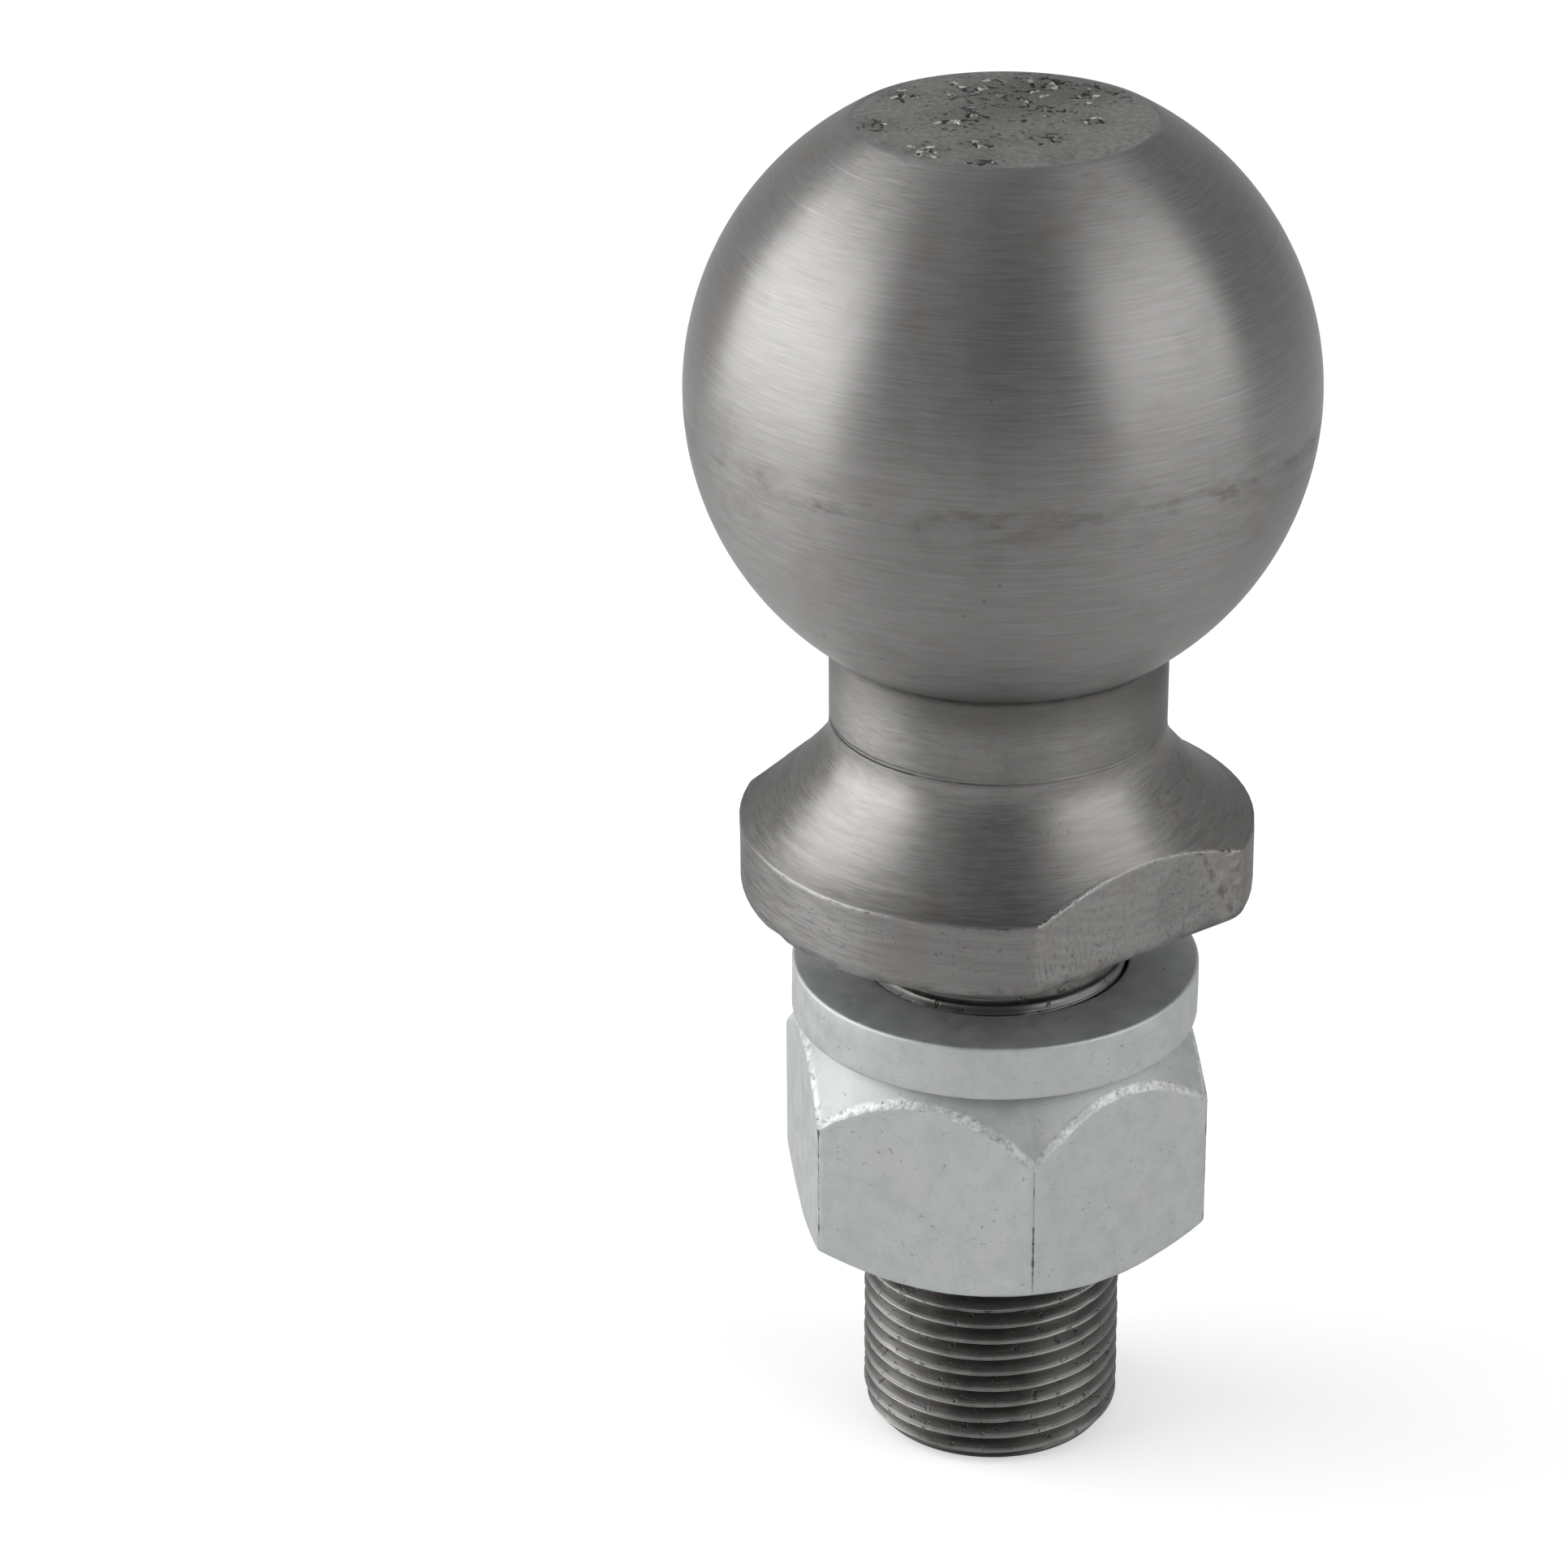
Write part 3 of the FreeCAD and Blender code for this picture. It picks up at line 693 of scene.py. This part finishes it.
def leaning(nodes, azimuth):
    """Distance from the axis towards an azimuth in degrees, below nothing on its far side."""
    a = math.radians(azimuth)
    return nodes.minus(nodes.times(nodes.x, math.sin(a)), nodes.times(nodes.y, math.cos(a)))


def ball_steel():
    """Turned and polished steel of the ball."""
    nodes = Nodes("ball_turned_steel", tint=0.78)
    away, east, north = radial(nodes)
    polar_angle = nodes.math("ARCTAN2", away, nodes.minus(nodes.z, BALL_HEIGHT * MM))
    along = nodes.times(polar_angle, BALL_RADIUS * MM)
    _, fine_lines, medium_lines = turned(nodes, along)
    colour = steel_base(nodes, fine_lines, medium_lines, (0.166, 0.163, 0.159),
                        (0.224, 0.221, 0.217), 0.30)
    # Rubbed marks, smeared round the ball a little below its widest place
    smear = nodes.noise(nodes.vector(nodes.times(east, 7.0), nodes.times(north, 7.0),
                                     nodes.times(along, 650.0)), 1.0, 5.0, 0.66)
    ring = nodes.band(polar_angle, math.radians(92.0), math.radians(2.4))
    wide_ring = nodes.band(polar_angle, math.radians(97.0), math.radians(8.0))
    ring = nodes.plus(nodes.times(ring, 0.75), nodes.times(wide_ring, 0.3))
    for centre in ((-29.0, 2.0, 47.5), (-28.0, -8.6, 49.0), (1.0, -29.0, 49.5), (24.0, 17.0, 48.0)):
        ring = nodes.plus(ring, nodes.spot(centre, (3.0, 3.0, 1.8), 0.6))
    marks = nodes.times(ring, nodes.ramp(smear, 0.42, 0.76), clamp=True)
    colour = nodes.cover(colour, marks, 0.60, (0.085, 0.078, 0.072))
    # Painted shade thickens towards the corner with the neck
    colour = nodes.cover(colour, nodes.ramp_mm(nodes.z, 29.6, 25.6), 0.66, JUNCTION_SHADE)
    dots = pores(nodes, 0.74, 0.79, scale=1000.0, field=90.0)
    colour = nodes.cover(colour, dots, 0.45, (0.06, 0.056, 0.052))
    hair = nodes.most(nodes.scratches((38, 25, 0), 45.0, 5200.0, 0.735),
                      nodes.scratches((-64, 18, 40), 60.0, 4600.0, 0.745))
    colour = nodes.cover(colour, hair, 0.35, (0.32, 0.315, 0.31))
    # The lower half was cut in a second pass and is a little duller
    lower = nodes.ramp(polar_angle, math.radians(90.5), math.radians(92.5))
    rough = nodes.plus(nodes.ramp(fine_lines, 0.3, 0.7, 0.375, 0.430),
                       nodes.times(marks, 0.08), nodes.times(lower, 0.07))
    return nodes.finish(colour, rough, (fine_lines, 0.003), (medium_lines, 0.003),
                        (hair, -0.003), stretch=0.82)


def neck_steel(name, dark, light, roughness, stretch, spots):
    """Turned steel of the neck and the flare; spots is how dark the pores are."""
    nodes = Nodes(name)
    along = nodes.minus(nodes.z, radial(nodes)[0])
    away, fine_lines, medium_lines = turned(nodes, along, around=8.0, fine=5600.0, medium=1500.0)
    colour = steel_base(nodes, fine_lines, medium_lines, dark, light, 0.34)
    # Painted shade darkens the neck's top, under the ball
    colour = nodes.cover(colour, nodes.ramp_mm(nodes.z, 21.0, 25.4), 0.64, JUNCTION_SHADE)
    # The neck is painted lighter on the left, a painted highlight, and darker on the right, painted
    # shade
    left = leaning(nodes, LEFT_AZIMUTH)
    neck = nodes.ramp_mm(nodes.z, 15.5, 19.5)
    left_light = nodes.ramp_mm(left, 6.0, 15.0, 0.0, 0.34)
    colour = nodes.cover(colour, left_light, neck, (0.36, 0.355, 0.35))
    # Painted shade on the neck's right side
    right_shade = nodes.ramp_mm(left, -3.0, -12.0, 0.0, 0.40)
    colour = nodes.cover(colour, right_shade, neck, (0.10, 0.098, 0.094))
    # The stopped cut is a dark double line on one side and wears away round the neck
    line = nodes.plus(*[
        nodes.times(nodes.band(nodes.z, height * MM, reach * MM),
                    nodes.ramp_mm(left, start, end, 0.0, strength))
        for height, reach, start, end, strength in (
            (17.86, 0.10, -13.0, 6.0, 1.0), (18.22, 0.065, -1.0, 9.0, 0.8),
            (17.95, 0.30, 2.0, 14.0, 0.5),
        )
    ])
    line = nodes.times(line, nodes.ramp(medium_lines, 0.36, 0.52, 0.35, 1.0),
                       nodes.ramp_mm(away, 17.0, 16.4), clamp=True)
    colour = nodes.cover(colour, line, 0.85, (0.03, 0.027, 0.024))
    # Pores and faint rust freckles crowd on the right of the flare
    right = nodes.ramp_mm(nodes.x, -2.0, 12.0, 0.25, 1.0)
    dots = nodes.times(pores(nodes, 0.64, 0.72, scale=2400.0, share=0.44), right)
    colour = nodes.cover(colour, dots, spots, (0.05, 0.045, 0.04))
    freckles = nodes.times(pores(nodes, 0.60, 0.70, scale=1300.0, field=150.0), right)
    colour = nodes.cover(colour, freckles, spots, (0.115, 0.078, 0.056))
    # Bright burrs and dark nicks along the milled edge
    near_flat = nodes.times(nodes.ramp_mm(nodes.y, -20.62, -20.98), nodes.ramp_mm(away, 21.0, 21.5))
    chips = nodes.noise(nodes.place, 1300.0, 3.0, 0.65)
    burr = nodes.times(near_flat, nodes.ramp(chips, 0.42, 0.62))
    colour = nodes.cover(colour, burr, 0.5, (0.34, 0.335, 0.33))
    nick = nodes.times(near_flat, nodes.ramp(chips, 0.43, 0.36))
    colour = nodes.cover(colour, nick, 0.7, (0.04, 0.036, 0.033))
    rough = nodes.ramp(fine_lines, 0.3, 0.7, roughness - 0.04, roughness + 0.05)
    return nodes.finish(colour, rough, (fine_lines, 0.005), (medium_lines, 0.006),
                        (dots, -0.02), (burr, 0.04), stretch=stretch)


def rim_steel():
    """Duller, pitted steel of the flange's edge and its two flats."""
    nodes = Nodes("rim_turned_steel")
    along = nodes.minus(nodes.z, radial(nodes)[0])
    away, fine_lines, medium_lines = turned(nodes, along, fine=4200.0, medium=1100.0)
    on_flat = nodes.times(nodes.ramp_mm(nodes.y, -20.7, -20.95), nodes.ramp_mm(away, 24.45, 24.2))
    grain = nodes.noise(nodes.place, 1900.0, 3.0, 0.6)
    streaks = nodes.mix(on_flat, fine_lines, grain)
    colour = steel_base(nodes, streaks, medium_lines, (0.152, 0.149, 0.146),
                        (0.222, 0.219, 0.214), 0.36)
    # Slanted ticks of the mill at the flat's left end, broken into short dashes
    tick = nodes.times(nodes.plus(nodes.x, nodes.times(nodes.z, 0.22)), 9200.0)
    tick = nodes.math("SINE", nodes.plus(tick, nodes.times(nodes.noise(nodes.place, 700.0), 7.0)))
    dash = nodes.noise(nodes.vector(nodes.x, nodes.y, nodes.times(nodes.z, 0.7)), 1500.0)
    chatter = nodes.times(nodes.ramp(tick, 0.35, 0.8), nodes.ramp(dash, 0.50, 0.60),
                          nodes.spot((-10.4, -21.1, 2.7), (3.9, 1.5, 2.9)))
    colour = nodes.cover(colour, chatter, 0.42, (0.07, 0.066, 0.062))
    # A scuffed brownish patch at the flat's right end, behind a slanting edge
    slant = nodes.plus(nodes.x, nodes.times(nodes.z, 0.58),
                       nodes.times(nodes.noise(nodes.place, 900.0), 0.9 * MM))
    patch = nodes.times(nodes.ramp_mm(slant, 12.7, 13.1), on_flat)
    edge = nodes.times(nodes.band(slant, 12.75 * MM, 0.42 * MM), on_flat)
    rust = nodes.ramp(nodes.noise(nodes.place, 620.0, 5.0, 0.72), 0.40, 0.58)
    colour = nodes.cover(colour, patch, 0.10, (0.33, 0.325, 0.32))
    brown = nodes.times(nodes.spot((11.9, -21.1, 5.0), (1.1, 1.5, 2.6)), on_flat)
    brown = nodes.times(nodes.most(nodes.times(patch, 0.35), brown), rust)
    colour = nodes.cover(colour, brown, 0.85, (0.105, 0.078, 0.060))
    colour = nodes.cover(colour, nodes.times(edge, rust), 0.75, (0.085, 0.068, 0.055))
    dots = pores(nodes, 0.63, 0.71, scale=2600.0, field=260.0, share=0.44)
    colour = nodes.cover(colour, dots, 0.42, (0.06, 0.055, 0.05))
    # The lower edge is darker towards the bottom, in broken patches
    low = nodes.times(nodes.ramp_mm(nodes.z, 2.1, 0.4),
                      nodes.ramp(nodes.noise(nodes.place, 260.0, 5.0, 0.7), 0.40, 0.62))
    colour = nodes.cover(colour, low, 0.55, (0.07, 0.066, 0.062))
    # Bright chips along the edge, partly the mill's burrs and partly a painted highlight, and dark
    # chips that the mill left
    near_edge = nodes.times(nodes.ramp_mm(nodes.z, FLANGE_EDGE - 0.35, FLANGE_EDGE),
                            nodes.ramp_mm(away, 24.3, 24.5))
    chips = nodes.noise(nodes.place, 900.0, 3.0, 0.65)
    # Painted highlight in the bright chips along the edge
    colour = nodes.cover(colour, near_edge, nodes.ramp(chips, 0.40, 0.60, 0.0, 0.24),
                         (0.36, 0.355, 0.35))
    colour = nodes.cover(colour, near_edge, nodes.ramp(chips, 0.42, 0.36, 0.0, 0.6),
                         (0.05, 0.046, 0.043))
    return nodes.finish(colour, nodes.ramp(streaks, 0.3, 0.7, 0.40, 0.51), (streaks, 0.006),
                        (medium_lines, 0.006), (dots, -0.02), (chatter, -0.02), (brown, -0.03),
                        stretch=0.70)


def crown_steel(name="crown_pitted_steel", knocked=True):
    """The crown's matte flat with its knocks; the shank's end has none."""
    nodes = Nodes(name)
    away, _, _ = radial(nodes)
    grain = nodes.noise(nodes.place, 1700.0, 3.0, 0.6)
    turning = nodes.noise(nodes.vector(0.0, 0.0, nodes.times(away, 3000.0)), 1.0)
    cloud = nodes.noise(nodes.place, 230.0, 4.0, 0.65)
    colour = nodes.mix(nodes.ramp(grain, 0.3, 0.7), (0.232, 0.229, 0.224), (0.300, 0.296, 0.290))
    colour = nodes.cover(colour, nodes.ramp(cloud, 0.50, 0.72), 0.35, (0.115, 0.11, 0.105))
    heights = [(turning, 0.006), (grain, 0.008)]
    if knocked:
        crowd = nodes.plus(*[
            nodes.spot((east, north, CROWN_HEIGHT), (reach, reach, 9.0))
            for east, north, reach, _ in CROWN_CROWDS
        ])
        colour = nodes.cover(colour, crowd, 0.45, (0.11, 0.108, 0.104))
        patchy = nodes.ramp(nodes.noise(nodes.place, 420.0, 3.0, 0.6), 0.34, 0.54)
        field = nodes.times(crowd, patchy, nodes.ramp_mm(away, 13.8, 13.2), clamp=True)
        # Small pits of bent outline between the knocks
        warp = nodes.noise(nodes.place, 900.0, output="Color")
        bent = nodes.new("ShaderNodeVectorMath", warp, (0.0024, 0.0024, 0.0), nodes.place,
                         operation="MULTIPLY_ADD").outputs[0]
        small = nodes.times(nodes.ramp(nodes.cells(bent, 1200.0), 0.36, 0.24),
                            nodes.ramp(field, 0.06, 0.26))
        # Painted shade in the knocks, with the small pits dark too, and a broken painted highlight
        # round them
        depth = nodes.minus(CROWN_HEIGHT * MM, nodes.z)
        knock_shade_and_pits = nodes.most(nodes.ramp_mm(depth, 0.03, 0.13), nodes.times(small, 0.7))
        colour = nodes.cover(colour, knock_shade_and_pits, 0.85, (0.030, 0.028, 0.026))
        # Painted highlight: broken glints on the knocks' upper walls
        lip = nodes.times(nodes.ramp_mm(depth, 0.002, 0.02),
                          nodes.ramp(nodes.noise(nodes.place, 700.0), 0.56, 0.62),
                          nodes.ramp_mm(depth, 0.20, 0.12))
        colour = nodes.cover(colour, lip, 0.85, (0.60, 0.59, 0.58))
        heights.append((small, -0.08))
    return nodes.finish(colour, nodes.ramp(grain, 0.3, 0.7, 0.44, 0.56), *heights)


def thread_steel():
    """Rolled thread: painted shade in the grooves, a patchy painted highlight on the crests, dark
    dirt, small nicks.
    """
    nodes = Nodes("thread_steel")
    away, _, medium_lines = turned(nodes, nodes.z, around=5.0, fine=5000.0, medium=1500.0)
    cloud = nodes.noise(nodes.place, 300.0, 4.0, 0.65)
    colour = nodes.mix(nodes.ramp(medium_lines, 0.3, 0.7), (0.110, 0.107, 0.103),
                       (0.160, 0.156, 0.151))
    # Painted shade darkens the thread towards its roots
    colour = nodes.cover(colour, nodes.ramp_mm(away, 12.15, 11.68), 0.7, (0.055, 0.052, 0.048))
    # Painted highlight brightens the crests in patches
    bright = nodes.times(nodes.ramp_mm(away, 12.34, 12.60),
                         nodes.ramp(cloud, 0.36, 0.60, 0.45, 1.0))
    colour = nodes.cover(colour, bright, 0.8, (0.25, 0.246, 0.24))
    dirt = nodes.ramp(nodes.noise(nodes.place, 900.0, 3.0, 0.65), 0.60, 0.68)
    colour = nodes.cover(colour, dirt, 0.6, (0.04, 0.036, 0.032))
    return nodes.finish(colour, nodes.ramp(cloud, 0.3, 0.7, 0.34, 0.48), (medium_lines, 0.014),
                        (dirt, -0.03), stretch=0.3)


def across_flats(nodes):
    """Distances from the axis across the nut's three pairs of flats."""
    slanted = [nodes.plus(nodes.times(nodes.x, math.sqrt(0.75)), nodes.times(nodes.y, side))
               for side in (-0.5, 0.5)]
    return [nodes.math("ABSOLUTE", value) for value in (nodes.y, *slanted)]


def zinc(name, tone, rough, edge=False, corner=False):
    """Dull zinc plate: fine cool mottling, faint pink clouds, dark specks."""
    nodes = Nodes(name)
    cloud = nodes.noise(nodes.place, 420.0, 5.0, 0.68)
    fine = nodes.noise(nodes.place, 2300.0, 2.0, 0.6)
    tint = nodes.noise(nodes.place, 210.0, 3.0, 0.6)
    colour = nodes.mix(nodes.ramp(cloud, 0.3, 0.7), tuple(v * 0.90 for v in tone),
                       tuple(v * 1.07 for v in tone))
    colour = nodes.cover(colour, nodes.ramp(tint, 0.50, 0.66), 0.4,
                         (tone[0] * 1.08, tone[1] * 0.985, tone[2] * 1.02))
    colour = nodes.cover(colour, nodes.ramp(fine, 0.55, 0.75), 0.30, tuple(v * 0.68 for v in tone))
    dots = pores(nodes, 0.68, 0.75, field=300.0, share=0.46)
    colour = nodes.cover(colour, dots, 0.4, (0.13, 0.13, 0.13))
    heights = [(fine, 0.010), (cloud, 0.012), (dots, -0.03)]
    if edge or corner:
        first, second, third = across_flats(nodes)
        widest = nodes.most(first, nodes.most(second, third))
    if edge:
        # The shear left a bright rough lip where the bevel meets the flats
        lip = nodes.ramp_mm(widest, NUT_APOTHEM - 0.66, NUT_APOTHEM - 0.38)
        chips = nodes.noise(nodes.place, 1500.0, 3.0, 0.7)
        bright = nodes.times(lip, nodes.ramp(chips, 0.40, 0.62, 0.1, 1.0),
                             nodes.ramp(nodes.noise(nodes.place, 240.0), 0.38, 0.60, 0.4, 1.0))
        colour = nodes.cover(colour, bright, 0.75, (0.62, 0.63, 0.62))
        dark_chip = nodes.times(lip, nodes.ramp(chips, 0.40, 0.32))
        colour = nodes.cover(colour, dark_chip, 0.75, (0.10, 0.10, 0.10))
        heights.append((nodes.times(lip, chips), 0.10))
    if corner:
        # On a corner the two larger of the three distances are equal
        least = nodes.math("MINIMUM", first, nodes.math("MINIMUM", second, third))
        larger = nodes.minus(nodes.plus(first, second, third), least)
        off = nodes.minus(nodes.times(widest, 2.0), larger)
        around = nodes.vector(nodes.times(nodes.x, 40.0), nodes.times(nodes.y, 40.0),
                              nodes.times(nodes.z, 480.0))
        along = nodes.noise(around, 1.0, 3.0, 0.6)
        width = nodes.ramp(along, 0.50, 0.64, 0.07 * MM, 0.17 * MM)
        line = nodes.times(nodes.math("LESS_THAN", off, width),
                           nodes.ramp_mm(nodes.z, NUT_FOOT + 1.9, NUT_FOOT + 2.2))
        colour = nodes.cover(colour, line, nodes.ramp(along, 0.40, 0.60, 0.25, 0.9),
                             (0.06, 0.06, 0.06))
    rough = nodes.ramp(cloud, 0.3, 0.7, rough - 0.04, rough + 0.06)
    return nodes.finish(colour, rough, *heights, metallic=0.75)


# ---- pieces ----

head = Shell()
make_crown(head)
make_ball_head(head)
make_flange(head)
make_shank(head)
ball = head.build("tow_ball_forging", [
    ball_steel(), crown_steel(),
    neck_steel("neck_turned_steel", (0.150, 0.147, 0.143), (0.214, 0.211, 0.206),
               0.42, 0.72, 0.45),
    neck_steel("flare_turned_steel", (0.162, 0.159, 0.155), (0.236, 0.232, 0.226),
               0.42, 0.66, 0.55),
    rim_steel(), thread_steel(), crown_steel("shank_end_steel", knocked=False),
])
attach(ball, "ball")
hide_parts("tow_ball")

plate_tone = (0.395, 0.416, 0.403)
washer = make_washer().build("split_lock_washer", [
    zinc("washer_zinc_plate", plate_tone, 0.54), zinc("washer_cut_zinc", plate_tone, 0.6),
])
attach(washer, "washer")
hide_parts("lock_washer")

nut = make_nut().build("heavy_hex_nut", [
    zinc("nut_zinc_plate", plate_tone, 0.54, corner=True),
    zinc("nut_bevel_zinc", tuple(v * 0.9 for v in plate_tone), 0.58, edge=True),
    zinc("nut_thread_zinc", (0.32, 0.33, 0.32), 0.45),
])
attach(nut, "nut")
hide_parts("hex_nut")


# ---- floor, lights and camera ----

def make_floor():
    """A pale floor that takes the object's shadow, whiter to the camera and in the metal."""
    mesh = bpy.data.meshes.new("floor")
    reach = 4.0
    under = SHANK_END * MM - 0.0002
    corners = [(-reach, -reach, under), (reach, -reach, under), (reach, reach, under),
               (-reach, reach, under)]
    mesh.from_pydata(corners, [], [(0, 1, 2, 3)])
    floor = bpy.data.objects.new("floor", mesh)
    bpy.context.scene.collection.objects.link(floor)
    material = bpy.data.materials.new("floor_white")
    nodes = Tree(material)
    ray = nodes.new("ShaderNodeLightPath").outputs
    # To the camera the floor brightens to white away from the object
    place = nodes.new("ShaderNodeTexCoord").outputs["Object"]
    away = nodes.new("ShaderNodeVectorMath", place, operation="LENGTH").outputs["Value"]
    far = nodes.times(nodes.ramp(away, 0.25, 1.1, 0.40, 0.68), ray["Is Camera Ray"])
    matte = nodes.new("ShaderNodeBsdfDiffuse", (0.62, 0.62, 0.62, 1.0)).outputs[0]
    glow = nodes.new("ShaderNodeEmission", WHITE, nodes.most(0.36, far)).outputs[0]
    bright = nodes.new("ShaderNodeAddShader", matte, glow).outputs[0]
    seen = nodes.most(nodes.most(ray["Is Camera Ray"], ray["Is Glossy Ray"]),
                      ray["Is Transmission Ray"])
    pick = nodes.new("ShaderNodeMixShader", seen, matte, bright)
    nodes.new("ShaderNodeOutputMaterial", pick.outputs[0])
    mesh.materials.append(material)


def make_world():
    """White to the camera; soft light that is dimmer on the viewer's side."""
    world = bpy.data.worlds.new("studio")
    bpy.context.scene.world = world
    nodes = Tree(world)
    place = nodes.new("ShaderNodeTexCoord").outputs["Generated"]
    a = math.radians(FRONT_AZIMUTH)
    towards = []
    for way in ((math.sin(a), -math.cos(a), 0.0), (math.cos(a), math.sin(a), 0.0), (0.0, 0.0, 1.0)):
        dot = nodes.new("ShaderNodeVectorMath", place, way, operation="DOT_PRODUCT")
        towards.append(dot.outputs["Value"])
    front, right, up = towards
    # A narrow dark gap stands behind the viewer, between the two soft boxes
    gap = nodes.times(nodes.ramp(nodes.math("ABSOLUTE", right), 0.04, 0.30, 0.42, 0.0),
                      nodes.ramp(front, -0.1, 0.4))
    # It is brighter to the left and overhead
    strength = nodes.times(nodes.ramp(front, -0.6, 0.3, 0.76, 0.52), nodes.minus(1.0, gap),
                           nodes.ramp(right, -0.7, 0.6, 1.4, 0.92))
    strength = nodes.plus(strength, nodes.ramp(up, 0.45, 0.95, 0.0, 0.20))
    soft = nodes.new("ShaderNodeBackground", (0.8, 0.8, 0.8, 1.0), strength)
    seen = nodes.new("ShaderNodeBackground", WHITE, 1.0)
    ray = nodes.new("ShaderNodeLightPath").outputs
    either = nodes.most(ray["Is Camera Ray"], ray["Is Transmission Ray"])
    mix = nodes.new("ShaderNodeMixShader", either, soft.outputs[0], seen.outputs[0])
    nodes.new("ShaderNodeOutputWorld", mix.outputs[0])


def soft_box(name, azimuth, elevation, distance, width, height, power):
    """A rectangular lamp that looks at the object's middle; its sizes are in metres."""
    light = bpy.data.lights.new(name, "AREA")
    light.shape = "RECTANGLE"
    light.size = width
    light.size_y = height
    light.energy = power
    lamp = bpy.data.objects.new(name, light)
    a, e = math.radians(azimuth), math.radians(elevation)
    away = Vector((math.sin(a) * math.cos(e), -math.cos(a) * math.cos(e), math.sin(e)))
    lamp.location = Vector((0, 0, 0.03)) + away * distance
    lamp.rotation_euler = away.to_track_quat("Z", "Y").to_euler()
    bpy.context.scene.collection.objects.link(lamp)


def make_camera():
    """The photograph's viewpoint, as fitted to its three known sizes."""
    sensor, focal_pixels, picture_pixels = 36.0, 6040.3677, 1932
    data = bpy.data.cameras.new("camera")
    data.sensor_width = sensor
    data.lens = focal_pixels * sensor / picture_pixels
    data.clip_start = 0.01
    data.clip_end = 20.0
    camera = bpy.data.objects.new("camera", data)
    bpy.context.scene.collection.objects.link(camera)
    right = Vector((0.78959688, -0.61357738, -0.0077183))
    up = Vector((0.27164212, 0.33823535, 0.90100355))
    forward = Vector((0.5502248, 0.71352621, -0.43374304))
    turn = Matrix((right, up, -forward)).transposed().to_4x4()
    camera.matrix_world = Matrix.Translation(Vector((-0.27308985, -0.32087949, 0.21312013))) @ turn
    bpy.context.scene.camera = camera


make_floor()
make_world()
soft_box("left_box", FRONT_AZIMUTH - 89, 20, 0.80, 0.94, 0.75, 8.2)
soft_box("right_box", FRONT_AZIMUTH + 68, 28, 0.85, 0.86, 0.75, 4.6)
make_camera()
bpy.context.scene.view_settings.view_transform = "Standard"
